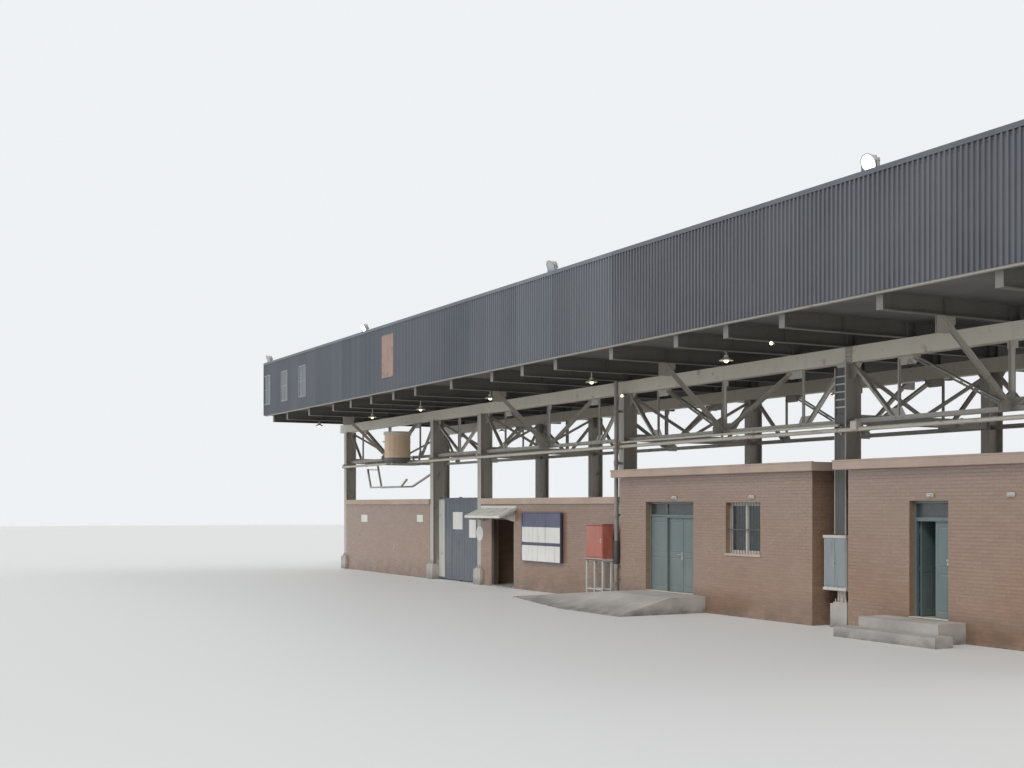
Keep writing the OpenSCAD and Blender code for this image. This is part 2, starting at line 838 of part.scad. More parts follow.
// Landing before the double door, sloped down to its front and along the wall to one side
module entry_ramp() {
    high = floor_z - 10;
    edge = 20;
    ends = [door_b[0] - 220, door_b[1] + 480];
    landing_y = -tall_half - 1030;
    front_y = -tall_half - 2440;
    slope = [[landing_y, high], [front_y, edge], [front_y, 0]];
    side_y = [-tall_half - 340, -tall_half - 1500];
    side_end = ends[0] - 4150;
    color(concrete) {
        translate([(ends[0] + ends[1]) / 2, 0, 0])
            cross_profile(concat([[-tall_half, 0], [-tall_half, high]], slope), ends[1] - ends[0]);
        hull() {
            translate([ends[0], 0, 0])
                cross_profile(concat([[side_y[0], 0], [side_y[0], high]], slope), 2);
            block([side_end, side_y[1], 0], [side_end + 10, side_y[0], edge]);
        }
    }
}

module notice_board() {
    back = 60;
    color([0.16, 0.18, 0.3])
        translate([board_x, -low_half, 0]) {
            for (x = [300, board_w - 300])
                block([x - 30, -back, board_z[0] + 20], [x + 30, 0, board_z[1] - 50]);
            block([0, -board_d, board_z[0]], [board_w, -back, board_z[1]]);
        }
}

module wall_cabinet() {
    color([0.55, 0.14, 0.1])
        translate([cabinet_x, cabinet_y, cabinet_z]) cube([cabinet_w, cabinet_d, cabinet_h]);
}

// Shelf and legs under the cabinet
module cabinet_stand() {
    shelf_t = 60;
    over = 20;
    leg = 50;
    color([0.7, 0.69, 0.64])
        translate([cabinet_x, cabinet_y, 0]) {
            block([-over, -over, cabinet_z - shelf_t], [cabinet_w + over, cabinet_d, cabinet_z]);
            for (x = [0, (cabinet_w - leg) / 2, cabinet_w - leg])
                for (y = [0, cabinet_d - leg])
                    block([x, y, 0], [x + leg, y + leg, cabinet_z - shelf_t]);
        }
}

// Short canopy on two side brackets, above the low room's doorway
module entry_canopy() {
    width = 2390;
    reach = 600;
    drop = 250;
    sheet = 35;
    wall_z = 2440;
    bracket_z = 2060;
    bracket_t = 30;
    front_z = wall_z - drop;
    color([0.8, 0.79, 0.74])
        translate([room_c[0] + 55 + width / 2, -low_half, 0]) {
            cross_profile([[0, wall_z], [-reach, front_z], [-reach, front_z + sheet],
                [0, wall_z + sheet]], width);
            for (side = [-1, 1])
                translate([side * (width / 2 - 115), 0, 0])
                    cross_profile([[0, wall_z + 10], [60 - reach, front_z + sheet], [100 - reach, front_z],
                        [-60, bracket_z], [0, bracket_z]], bracket_t);
        }
}

// Sheet screen on posts across the short bay
module sheet_screens() {
    ends = [bent_x[1] + 250, bent_x[2] - 250];
    post = 80;
    sheet_z = [60, 2800];
    post_top = 2840;
    color([0.36, 0.42, 0.47]) {
        block([ends[0], screen_y[0], sheet_z[0]], [ends[1], screen_y[1], sheet_z[1]]);
        for (x = [ends[0], (ends[0] + ends[1] - post) / 2, ends[1] - post])
            block([x, screen_y[0], 0], [x + post, -row_y + 60, post_top]);
    }
}

// Shallow panel box with rims, fixed on a column in the gap between the tall rooms
module column_panel() {
    size = [670, 120];
    rim = 50;
    rim_out = [10, 20];
    low = 780;
    high = 1920;
    color([0.5, 0.5, 0.48])
        translate([bent_x[4] - 400, -column_face, 0]) {
            block([0, -size[1], low], [size[0], 0, high]);
            for (z = [low, high - rim])
                block([-rim_out[0], -size[1] - rim_out[1], z], [size[0] + rim_out[0], 0, z + rim]);
        }
}

// Bare plates on the board, the screen and the far room, and a round one on a column
module blank_plates() {
    thick = 12;
    board_y = -low_half - board_d;
    disc_d = 480;
    plates = [[[bent_x[1] + 1350, 1750], [740, 580], screen_y[0]],
        [[bent_x[2] - 1100, 1490], [500, 590], screen_y[0]],
        [[room_e[0] + 1685, 1910], [640, 280], -low_half],
        [[room_e[1] - 1115, 1970], [520, 250], -low_half],
        [[board_x + 30, board_z[0] + 20], [board_w - 60, 460], board_y],
        [[board_x + 30, board_z[0] + 576], [board_w - 60, 450], board_y]];
    color([0.86, 0.86, 0.83]) {
        for (plate = plates)
            translate([plate[0][0], plate[2] - thick, plate[0][1]])
                cube([plate[1][0], thick, plate[1][1]]);
        translate([bent_x[2] + 55, -column_face, 1650])
            rotate([90, 0, 0]) cylinder(h = thick, d = disc_d, $fn = 32);
    }
}

plinths();
columns();
bent_ties();
top_chords();
trusses();
floor_beams();
knee_braces();
edge_beams();
side_frames();
rafters();
gallery_floor();
side_cladding();
window_cladding();
patch_panel();
end_cladding();
gallery_roof();
gallery_windows();
floodlights();
lamps();
service_pipes();
downpipe();
cable_ladder();
dust_collector();
collector_bracket();
front_walls();
window_wall();
door_lintels();
back_walls();
low_room_walls();
room_floors();
roof_slabs();
door_frames();
door_a_main();
door_a_side();
door_b_left();
door_b_right();
room_window();
entry_steps();
entry_ramp();
notice_board();
wall_cabinet();
cabinet_stand();
entry_canopy();
sheet_screens();
column_panel();
blank_plates();
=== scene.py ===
# %% [markdown]
# An elevated conveyor gallery in dark ribbed sheet stands on a steel trestle, with tiled rooms
# between its legs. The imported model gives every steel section, wall and door at its real size.
# This lesson dresses it: it gives each piece its finish, and models what the plain solids lack,
# such as the ribs of the sheets, the wall tiles, bolts, lamps and window bars.

# %% Load the frame
import json
import math

import bpy
from mathutils import Matrix, Vector


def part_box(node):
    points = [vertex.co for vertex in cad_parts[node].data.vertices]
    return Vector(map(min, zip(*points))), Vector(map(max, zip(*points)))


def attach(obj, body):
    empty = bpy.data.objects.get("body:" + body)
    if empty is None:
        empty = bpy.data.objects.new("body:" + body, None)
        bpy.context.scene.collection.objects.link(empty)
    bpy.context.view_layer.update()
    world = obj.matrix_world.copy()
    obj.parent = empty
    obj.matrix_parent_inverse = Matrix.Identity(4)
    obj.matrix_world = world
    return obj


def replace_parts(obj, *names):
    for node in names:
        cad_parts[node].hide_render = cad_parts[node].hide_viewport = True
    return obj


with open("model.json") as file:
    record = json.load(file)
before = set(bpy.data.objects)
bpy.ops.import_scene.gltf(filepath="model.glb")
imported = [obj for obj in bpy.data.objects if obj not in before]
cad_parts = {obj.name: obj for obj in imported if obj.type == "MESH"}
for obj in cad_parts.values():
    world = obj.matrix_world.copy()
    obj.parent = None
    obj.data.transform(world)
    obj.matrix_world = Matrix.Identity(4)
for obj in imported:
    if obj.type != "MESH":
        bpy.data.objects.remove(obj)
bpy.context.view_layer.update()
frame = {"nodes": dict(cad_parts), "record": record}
BODY = "gallery"
QUARTER = math.radians(90)

# %% [markdown]
# The photograph was taken by a level camera beside the gallery's near end. A level camera keeps
# upright lines upright, and a lens shift brings the roof into the picture without tilting it.
# The camera could be aimed by eye, but the vanishing point of the gallery's long lines gives its
# turn, and the height of a doorway gives its distance, so it is placed by those.

# %% The camera
CAMERA_PLACE = (31.0, -21.1, 2.54)
CAMERA_TURN = 62.0
FOCAL_PIXELS = 1300.0
PHOTO_WIDTH = 1024.0
HORIZON_SHIFT = 0.119

camera_data = bpy.data.cameras.new("camera")
camera_data.sensor_width = 36.0
camera_data.lens = FOCAL_PIXELS / PHOTO_WIDTH * camera_data.sensor_width
camera_data.shift_y = HORIZON_SHIFT
camera_data.clip_end = 500.0
camera = bpy.data.objects.new("camera", camera_data)
camera.location = CAMERA_PLACE
camera.rotation_euler = (QUARTER, 0, math.radians(CAMERA_TURN))
bpy.context.scene.collection.objects.link(camera)
bpy.context.scene.camera = camera
print("lens", round(camera_data.lens, 1), "mm")

# %% [markdown]
# The light is a plain studio one: a pale sky all round, and three wide suns whose edges are soft.
# A sun needs no distance, which suits an object this long, because an area lamp beside it would
# light the near end far more than the other. The view transform stays Standard, so that a colour
# comes out about as it is written.

# %% World, suns and floor
SKY_LIGHT = 0.55
FLOOR_RADIUS = 140.0


def node(tree, kind, values=None, **settings):
    """Adds a node with its settings. A socket among its values is linked, and the rest are set."""
    made = tree.nodes.new(kind)
    for name, value in settings.items():
        setattr(made, name, value)
    for name, value in (values or {}).items():
        if isinstance(value, bpy.types.NodeSocket):
            tree.links.new(value, made.inputs[name])
        else:
            made.inputs[name].default_value = value
    return made


def add_sun(name, strength, turn, height, softness, color):
    """A soft sun. turn is its compass side in degrees, 0 from -Y; height is above the horizon."""
    data = bpy.data.lights.new(name, "SUN")
    data.energy = strength
    data.angle = math.radians(softness)
    data.color = color
    lamp = bpy.data.objects.new(name, data)
    lamp.rotation_euler = (math.radians(90 - height), 0, math.radians(turn))
    bpy.context.scene.collection.objects.link(lamp)


world = bpy.data.worlds.new("studio")
bpy.context.scene.world = world
world.use_nodes = True
sky = world.node_tree
sky.nodes.clear()
rays = node(sky, "ShaderNodeLightPath")
shown = rays.outputs["Is Camera Ray"]
for ray in ("Is Glossy Ray", "Is Transmission Ray"):
    shown = node(sky, "ShaderNodeMath", {0: shown, 1: rays.outputs[ray]}, operation="MAXIMUM").outputs[0]
sky_dim = node(sky, "ShaderNodeBackground", {"Color": (0.93, 0.95, 1.0, 1.0), "Strength": SKY_LIGHT})
sky_seen = node(sky, "ShaderNodeBackground", {"Color": (0.86, 0.88, 0.9, 1.0), "Strength": 1.0})
sky_mix = node(sky, "ShaderNodeMixShader", {"Fac": shown, 1: sky_dim.outputs[0], 2: sky_seen.outputs[0]})
node(sky, "ShaderNodeOutputWorld", {"Surface": sky_mix.outputs[0]})

add_sun("key_sun", 1.7, 40.0, 42.0, 25.0, (1.0, 0.97, 0.93))
add_sun("fill_sun", 0.8, -35.0, 25.0, 60.0, (0.9, 0.95, 1.0))
add_sun("back_sun", 0.9, 165.0, 35.0, 45.0, (1.0, 1.0, 1.0))

bpy.ops.object.select_all(action="DESELECT")
bpy.ops.mesh.primitive_circle_add(vertices=96, radius=FLOOR_RADIUS, fill_type="NGON", location=(0, 0, 0))
floor = bpy.context.object
floor.name = "studio_floor"
floor_paint = bpy.data.materials.new("studio_floor")
floor_paint.use_nodes = True
floor_shader = floor_paint.node_tree.nodes["Principled BSDF"]
floor_shader.inputs["Base Color"].default_value = (0.62, 0.62, 0.61, 1.0)
floor_shader.inputs["Roughness"].default_value = 0.6
floor.data.materials.append(floor_paint)
bpy.context.scene.view_settings.view_transform = "Standard"
print("floor", FLOOR_RADIUS, "m round the middle")

# %% [markdown]
# Most of the finishes are paint that has stood outdoors beside coal and ore dust. They share one
# recipe: a base colour that drifts over metres, streaks that run down, dust, and rust that comes
# through in patches. Helpers build it from noise on Object coordinates, which are metres here,
# so a scale of 1 means blotches about a metre wide. Image textures could hold more, but noise has
# no seams and needs no unwrapping.

# %% Helpers for materials
RUST = (0.16, 0.065, 0.03)


def new_finish(name, roughness, coat=0.0):
    """A material with its shader's constants set, and the Object coordinates to start from."""
    made = bpy.data.materials.new(name)
    made.use_nodes = True
    tree = made.node_tree
    shader = tree.nodes["Principled BSDF"]
    shader.inputs["Roughness"].default_value = roughness
    shader.inputs["Coat Weight"].default_value = coat
    shader.inputs["Coat Roughness"].default_value = 0.12
    place = tree.nodes.new("ShaderNodeTexCoord").outputs["Object"]
    return made, tree, shader, place


def calc(tree, operation, first, second=0.0):
    """A sum on two values, each a socket or a number."""
    return node(tree, "ShaderNodeMath", {0: first, 1: second}, operation=operation).outputs[0]


def times(tree, first, second):
    return calc(tree, "MULTIPLY", first, second)


def spread(tree, value, low, high, to_low=0.0, to_high=1.0):
    """Brings the span from low to high onto the span from to_low to to_high."""
    return node(tree, "ShaderNodeMapRange", {
        "Value": value, "From Min": low, "From Max": high,
        "To Min": to_low, "To Max": to_high}).outputs["Result"]


def split(tree, vector):
    """A vector's three parts, as the outputs X, Y and Z."""
    return node(tree, "ShaderNodeSeparateXYZ", {"Vector": vector}).outputs


def stretched(tree, place, scale):
    """Coordinates scaled by three numbers, so that a pattern can run long in one direction."""
    return node(tree, "ShaderNodeMapping", {"Vector": place, "Scale": scale}).outputs["Vector"]


def blotches(tree, place, scale, detail, low, high):
    """Noise cut between two levels: 0 below low, 1 above high."""
    noise = node(tree, "ShaderNodeTexNoise", {
        "Vector": place, "Scale": scale, "Detail": detail, "Roughness": 0.6})
    return spread(tree, noise.outputs["Fac"], low, high)


def blend_colors(tree, amount, first, second):
    """Mixes two colours, each a socket or a colour."""
    ends = [c if isinstance(c, bpy.types.NodeSocket) else (*c, 1.0) for c in (first, second)]
    mix = node(tree, "ShaderNodeMix", {"Factor": amount, 6: ends[0], 7: ends[1]}, data_type="RGBA")
    return mix.outputs[2]


def darker(color, share):
    return tuple(share * c for c in color)


def toward(color, other, share):
    """A colour that goes a share of the way to another."""
    return tuple((1 - share) * c + share * d for c, d in zip(color, other))


def ground_band(tree, place, height):
    """1 at the ground, fading to 0 at a height."""
    return spread(tree, split(tree, place)["Z"], height, 0.0)


def finished(made, tree, shader, tone, gloss, low, high):
    """Puts a colour on the shader, and lets a pattern drive its roughness from low to high."""
    tree.links.new(tone, shader.inputs["Base Color"])
    tree.links.new(spread(tree, gloss, 0.0, 1.0, low, high), shader.inputs["Roughness"])
    return made


def bump_from(tree, shader, height, distance):
    """Adds fine relief from a height socket; distance is its depth in metres."""
    bump = node(tree, "ShaderNodeBump", {"Height": height, "Strength": 0.6, "Distance": distance})
    tree.links.new(bump.outputs["Normal"], shader.inputs["Normal"])


def weathered_paint(name, color, rust=0.5, roughness=0.5, streak=1.0, dust=0.3):
    """Outdoor paint: drifting tone, dark streaks that run down, dust and patches of rust."""
    made, tree, shader, place = new_finish(name, roughness)
    drift = blotches(tree, place, 0.45, 5.0, 0.35, 0.68)
    tone = blend_colors(tree, drift, color, toward(color, (0.42, 0.38, 0.33), dust))
    run = blotches(tree, stretched(tree, place, (5.0, 5.0, 0.55)), 1.3, 6.0, 0.52, 0.78)
    tone = blend_colors(tree, times(tree, run, streak), tone, darker(color, 0.62))
    spots = blotches(tree, place, 2.6, 8.0, 0.66 - 0.08 * rust, 0.74)
    tone = blend_colors(tree, times(tree, spots, rust), tone, RUST)
    bump_from(tree, shader, blotches(tree, place, 60.0, 4.0, 0.3, 0.7), 0.0008)
    return finished(made, tree, shader, tone, spots, roughness, min(0.95, roughness + 0.35))


def coated_sheet(name, batches, sheet_width):
    """Coil-coated cladding, dulled by dust that rain has streaked. Each sheet has a tone of its own;
    batches are pairs of a place along the run and the colour of the sheets from there on."""
    made, tree, shader, place = new_finish(name, 0.45)
    along_run = split(tree, place)["X"]
    tone = color = batches[0][1]
    for start, batch_color in batches[1:]:
        tone = blend_colors(tree, calc(tree, "GREATER_THAN", along_run, start), tone, batch_color)
    sheet = calc(tree, "FLOOR", calc(tree, "DIVIDE", along_run, sheet_width))
    chance = node(tree, "ShaderNodeTexWhiteNoise", {"W": sheet}, noise_dimensions="1D").outputs["Value"]
    shade = spread(tree, chance, 0.0, 1.0, 0.84, 1.12)
    tone = node(tree, "ShaderNodeHueSaturation", {"Value": shade, "Color": tone}).outputs["Color"]
    drift = blotches(tree, place, 0.3, 4.0, 0.4, 0.75)
    tone = blend_colors(tree, times(tree, drift, 0.6), tone, toward(color, (0.36, 0.34, 0.31), 0.2))
    run = blotches(tree, stretched(tree, place, (9.0, 9.0, 0.5)), 1.3, 5.0, 0.55, 0.85)
    tone = blend_colors(tree, times(tree, run, 0.5), tone, darker(color, 0.7))
    spots = blotches(tree, place, 2.2, 8.0, 0.66, 0.76)
    tone = blend_colors(tree, times(tree, spots, 0.25), tone, RUST)
    return finished(made, tree, shader, tone, drift, 0.38, 0.62)


TILE_PITCH, ROW_PITCH = 0.25, 0.07


def glazed_tile(name, first, second, joint):
    """Glazed strip tiles in running bond, each with a tone of its own. The bond lies flat on a wall
    whichever way it faces, so its run is read along X on the long walls and along Y on the others."""
    made, tree, shader, place = new_finish(name, 0.2, coat=0.25)
    axis = split(tree, place)
    facing = split(tree, place.node.outputs["Normal"])["Y"]
    is_long = calc(tree, "GREATER_THAN", calc(tree, "ABSOLUTE", facing), 0.7)
    across = node(tree, "ShaderNodeMix", {"Factor": is_long, "A": axis["Y"], "B": axis["X"]})
    flat = node(tree, "ShaderNodeCombineXYZ", {"X": across.outputs["Result"], "Y": axis["Z"]})
    bond = node(tree, "ShaderNodeTexBrick", {
        "Vector": flat.outputs["Vector"], "Color1": (*first, 1.0), "Color2": (*second, 1.0),
        "Mortar": (*joint, 1.0), "Scale": 1.0, "Bias": 0.0, "Mortar Size": 0.003, "Mortar Smooth": 0.0,
        "Brick Width": TILE_PITCH, "Row Height": ROW_PITCH},
        offset=0.5, offset_frequency=2, squash=1.0, squash_frequency=1)
    film = blotches(tree, place, 0.5, 5.0, 0.4, 0.75)
    tone = blend_colors(tree, times(tree, film, 0.35), bond.outputs["Color"], (0.3, 0.23, 0.18))
    splash = times(tree, ground_band(tree, place, 0.7), blotches(tree, place, 2.5, 6.0, 0.3, 0.6))
    tone = blend_colors(tree, times(tree, splash, 0.6), tone, (0.1, 0.08, 0.065))
    return finished(made, tree, shader, tone, film, 0.14, 0.4)


def cast_concrete(name, color, dark, stain_height):
    """Cast concrete: pores, tide marks, and a damp dark band near the ground."""
    made, tree, shader, place = new_finish(name, 0.8)
    tone = blend_colors(tree, blotches(tree, place, 1.1, 8.0, 0.3, 0.72), color, dark)
    damp = times(tree, ground_band(tree, place, stain_height), blotches(tree, place, 3.0, 5.0, 0.25, 0.6))
    tone = blend_colors(tree, damp, tone, darker(dark, 0.45))
    bump_from(tree, shader, blotches(tree, place, 35.0, 6.0, 0.3, 0.7), 0.003)
    return finished(made, tree, shader, tone, damp, 0.85, 0.45)


def dusty_pane(name, color, roughness):
    """Dusty glass that is dark behind: a deep tone with a gloss coat, greyed in patches by dust."""
    made, tree, shader, place = new_finish(name, roughness, coat=0.2)
    dust = blotches(tree, place, 3.5, 6.0, 0.35, 0.75)
    tone = blend_colors(tree, dust, color, tuple(0.8 * c + 0.03 for c in color))
    return finished(made, tree, shader, tone, dust, roughness, 0.5)


def glowing(name, color, strength):
    """Lit glass: its own light with a slight unevenness, so that it doesn't read as a flat dot."""
    made, tree, shader, place = new_finish(name, 0.3)
    cloud = blotches(tree, place, 30.0, 2.0, 0.2, 0.8)
    tone = blend_colors(tree, cloud, color, tuple(min(1.0, 1.08 * c) for c in color))
    tree.links.new(tone, shader.inputs["Base Color"])
    tree.links.new(tone, shader.inputs["Emission Color"])
    shader.inputs["Emission Strength"].default_value = strength
    return made


# %% [markdown]
# Each finish is then one line: its name, its colour and how far it has weathered. Colours were
# judged from the photograph and brought to what the surface would be under plain light, except
# three that keep painted shade: the steel grey, the dark grey and the soffit are made darker than
# the real surface, for parts that stand in the gallery's shade.

# %% The finishes
PAINTS = {
    # grey_steel is the chords' beige-grey paint (pale_steel) a third darker: painted shade for the steel
    # under the gallery, which stands in its shade.
    "grey_steel": ((0.41, 0.39, 0.345), {"rust": 0.7, "streak": 0.35}),
    # The dark grey is painted shade: it darkens the beams under the floor, their stiffeners and end plates,
    # the lamp boxes and the collector's skirt, which stand in shade.
    "painted_shade_grey": ((0.125, 0.12, 0.11), {"streak": 0.35, "dust": 0.12}),
    "dark_steel": ((0.045, 0.045, 0.045), {"rust": 0.3, "dust": 0.12}),
    "pale_steel": ((0.62, 0.59, 0.5), {"streak": 0.3}),
    "rusty_sheet": ((0.27, 0.17, 0.135), {"rust": 0.9, "roughness": 0.7}),
    "window_frame": ((0.5, 0.5, 0.45), {"rust": 0.3}),
    "faded_frame": ((0.2, 0.215, 0.225), {"rust": 0.3}),
    "lamp_grey": ((0.36, 0.37, 0.37), {"rust": 0.2}),
    "lamp_cream": ((0.66, 0.63, 0.54), {"rust": 0.3}),
    "pipe_brown": ((0.27, 0.24, 0.21), {"rust": 0.8}),
    "galvanised": ((0.42, 0.43, 0.42), {"rust": 0.4, "roughness": 0.4}),
    "collector_cream": ((0.72, 0.53, 0.36), {"rust": 0.35}),
    "door_teal": ((0.1, 0.145, 0.147), {"rust": 0.25, "roughness": 0.38, "streak": 0.4, "dust": 0.2}),
    "board_navy": ((0.05, 0.055, 0.12), {"rust": 0.0, "roughness": 0.35, "dust": 0.1}),
    "cabinet_red": ((0.37, 0.085, 0.055), {"rust": 0.4, "roughness": 0.45, "dust": 0.2}),
    "canopy_white": ((0.66, 0.65, 0.6), {"rust": 0.3}),
    "screen_blue": ((0.08, 0.1, 0.125), {"rust": 0.4, "dust": 0.15}),
    "panel_blue": ((0.2, 0.235, 0.25), {"rust": 0.3, "dust": 0.2}),
    "stand_grey": ((0.5, 0.5, 0.46), {"rust": 0.4}),
    "plate_white": ((0.72, 0.72, 0.69), {"rust": 0.1, "roughness": 0.4}),
}
CONCRETES = {
    "slab_pink": ((0.53, 0.41, 0.335), (0.41, 0.315, 0.26), 0.01),
    "concrete": ((0.45, 0.43, 0.4), (0.3, 0.28, 0.26), 0.25),
    # soffit is concrete darkened to near black: painted shade for the underside of the gallery floor.
    "soffit": ((0.16, 0.155, 0.15), (0.11, 0.105, 0.1), 0.01),
}
PANES = {
    "dusty_glass": ((0.06, 0.08, 0.1), 0.25),
    "dark_glass": ((0.02, 0.026, 0.028), 0.2),
    "pale_glass": ((0.5, 0.52, 0.52), 0.15),
}
SHEET_BATCHES = ((-20.0, (0.075, 0.09, 0.113)), (-0.98, (0.098, 0.112, 0.132)), (6.3, (0.062, 0.066, 0.08)))
SHEET_WIDTH = 0.9
finish = {name: weathered_paint(name, color, **wear) for name, (color, wear) in PAINTS.items()}
finish.update({name: cast_concrete(name, *looks) for name, looks in CONCRETES.items()})
finish.update({name: dusty_pane(name, *looks) for name, looks in PANES.items()})
finish["cladding"] = coated_sheet("cladding", SHEET_BATCHES, SHEET_WIDTH)
finish["tile"] = glazed_tile("tile", (0.275, 0.172, 0.118), (0.243, 0.148, 0.1), (0.225, 0.172, 0.13))
finish["warm_glow"] = glowing("warm_glow", (1.0, 0.86, 0.6), 2.5)
finish["cool_glow"] = glowing("cool_glow", (0.9, 0.96, 1.0), 2.5)
for part in frame["record"]["subparts"]:
    paints = frame["nodes"][part["node"]].data.materials
    paints.clear()
    paints.append(finish[part["material_slot"]])
# The gallery floor and its beams take darker finishes than the model gives them: painted shade for the
# underside of the gallery.
for name, paint in (("gallery_floor", "soffit"), ("floor_beams", "painted_shade_grey")):
    frame["nodes"][name].data.materials[0] = finish[paint]
print(len(finish), "finishes on", len(frame["nodes"]), "nodes")

# %% [markdown]
# Every new piece is started from a primitive and ends in the same way: its place goes into its
# mesh, it takes a finish, and it rides on the body that carries it. Helpers do that for the
# plainest pieces, which are blocks with broken edges, rods, and groups of copies. A copy gets its
# own mesh, and a group of copies is joined so that a hundred bolts are still one piece.

# %% Helpers for shapes
TO_FRONT = Vector((0, -1, 0))
TO_REAR = Matrix.Diagonal((1, -1, 1, 1))
MIRROR_X = Matrix.Diagonal((-1, 1, 1, 1))


def apply_place():
    bpy.ops.object.transform_apply(location=True, rotation=True, scale=True)


def enter_edit():
    bpy.ops.object.mode_set(mode="EDIT")


def leave_edit():
    bpy.ops.object.mode_set(mode="OBJECT")


def begun(add, scale=(1, 1, 1), **settings):
    """Runs a primitive's operator with nothing else selected, and puts its place in its mesh."""
    bpy.ops.object.select_all(action="DESELECT")
    add(**settings)
    bpy.context.object.scale = scale
    apply_place()
    return bpy.context.object


def apply_modifier(piece, kind, **settings):
    """Adds a modifier to the active piece, sets it and applies it."""
    made = piece.modifiers.new(kind.lower(), kind)
    for name, value in settings.items():
        setattr(made, name, value)
    bpy.ops.object.modifier_apply(modifier=made.name)


def arrayed(piece, count, step, merge=False):
    apply_modifier(
        piece, "ARRAY", count=count, use_relative_offset=False, use_constant_offset=True,
        constant_offset_displace=step, use_merge_vertices=merge)


def cut(planes, drop=True, fill=True):
    """Bisects the active piece along planes of a point and a normal; drop clears what lies beyond."""
    enter_edit()
    for point, normal in planes:
        bpy.ops.mesh.select_all(action="SELECT")
        bpy.ops.mesh.bisect(plane_co=point, plane_no=normal, clear_outer=drop, use_fill=drop and fill)
    leave_edit()


def select_faces(piece, wanted):
    """Opens the piece in edit mode with only those faces chosen for which wanted is true."""
    bpy.context.view_layer.objects.active = piece
    chosen = [wanted(face) for face in piece.data.polygons]
    enter_edit()
    bpy.ops.mesh.select_mode(type="FACE")
    bpy.ops.mesh.select_all(action="DESELECT")
    leave_edit()
    for face, choice in zip(piece.data.polygons, chosen):
        face.select = choice
    enter_edit()


def pulled_face(piece, inset, depth, direction=TO_FRONT):
    """Insets the face that looks in a direction and pulls it out by depth, or in if that is negative."""
    select_faces(piece, lambda face: face.normal.dot(direction) > 0.99)
    bpy.ops.mesh.inset(thickness=inset)
    bpy.ops.transform.translate(value=direction * depth)
    leave_edit()
    return piece


def settle(paint, body=BODY):
    """Puts the active piece's place in its mesh, paints it and lets it ride."""
    piece = bpy.context.object
    apply_place()
    piece.data.materials.clear()
    piece.data.materials.append(finish[paint])
    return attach(piece, body)


def block(low, high, paint, body=BODY, edge=0.003, cuts=()):
    """A block between two opposite corners, cut back to planes, its edges broken by a small bevel."""
    low, high = Vector(low), Vector(high)
    size = [abs(far - near) for near, far in zip(low, high)]
    piece = begun(bpy.ops.mesh.primitive_cube_add, size, size=1.0, location=(low + high) / 2)
    if cuts:
        cut(cuts)
    apply_modifier(piece, "BEVEL", width=edge, segments=1)
    return settle(paint, body)


def rod(start, end, radius, paint, body=BODY, sides=16, edge=0.15):
    """A round bar between two points; edge is the share of its radius that its ends are broken by."""
    start, end = Vector(start), Vector(end)
    piece = begun(
        bpy.ops.mesh.primitive_cylinder_add, vertices=sides, radius=radius, depth=(end - start).length)
    apply_modifier(piece, "BEVEL", width=radius * edge, segments=1, angle_limit=math.radians(60))
    bpy.ops.object.shade_smooth_by_angle(angle=math.radians(35))
    piece.rotation_euler = (end - start).to_track_quat("Z", "Y").to_euler()
    piece.location = (start + end) / 2
    return settle(paint, body)


def named(name, piece):
    piece.name = name
    piece.data.name = name
    return piece


def joined(name, pieces):
    """Joins several pieces of one finish into the first, which keeps its body."""
    bpy.ops.object.select_all(action="DESELECT")
    for piece in pieces:
        piece.select_set(True)
    bpy.context.view_layer.objects.active = pieces[0]
    if len(pieces) > 1:
        bpy.ops.object.join()
    return named(name, pieces[0])


def put(piece, change):
    """Moves, turns or mirrors the mesh of a piece by a matrix."""
    piece.data.transform(change)
    if change.determinant() < 0:
        piece.data.flip_normals()
    return piece


def moved_copy(piece, change):
    """A copy with its own mesh, moved or turned by a matrix."""
    made = piece.copy()
    made.data = piece.data.copy()
    bpy.context.scene.collection.objects.link(made)
    return put(made, change)


def repeated(name, piece, changes):
    """The piece copied by every matrix or offset in changes and joined; the first one stays in place."""
    moves = [c if isinstance(c, Matrix) else Matrix.Translation(Vector(c)) for c in changes]
    return joined(name, [piece] + [moved_copy(piece, move) for move in moves])


def on_both_sides(name, piece):
    return repeated(name, piece, [TO_REAR])


def steps(places):
    """The offsets along X from the first place to each of the others."""
    return [(x - places[0], 0, 0) for x in places[1:]]


def frame_bars(low, high, face, back, bar, paint, edge, foot=None):
    """Four bars that butt round an upright opening, from corners in X and Z; foot is the lowest one's
    height where it differs."""
    (left, low_z), (right, high_z) = low, high
    spans = [
        ((left, low_z), (left + bar, high_z)), ((right - bar, low_z), (right, high_z)),
        ((left + bar, low_z), (right - bar, low_z + (foot or bar))),
        ((left + bar, high_z - bar), (right - bar, high_z))]
    return [block((x0, face, z0), (x1, back, z1), paint, edge=edge) for (x0, z0), (x1, z1) in spans]


# %% [markdown]
# The gallery is dressed in thin steel sheet with narrow upright ribs. The solids carry coarse ribs
# at 400 mm, so the real sheet is made here and takes their place. One pitch of flat strip is cut
# by bisecting it along the edges of its rib, the rib's face is pulled out, and an array repeats it
# for the whole run. An array keeps every rib alike, and costs far less than modelling each.

# %% The ribbed sheet
RIB_PITCH = 0.1125
RIB_DEPTH = 0.028
RIB_EDGES = (0.34, 0.46, 0.76, 0.88)
SHEET_THICKNESS = 0.0015


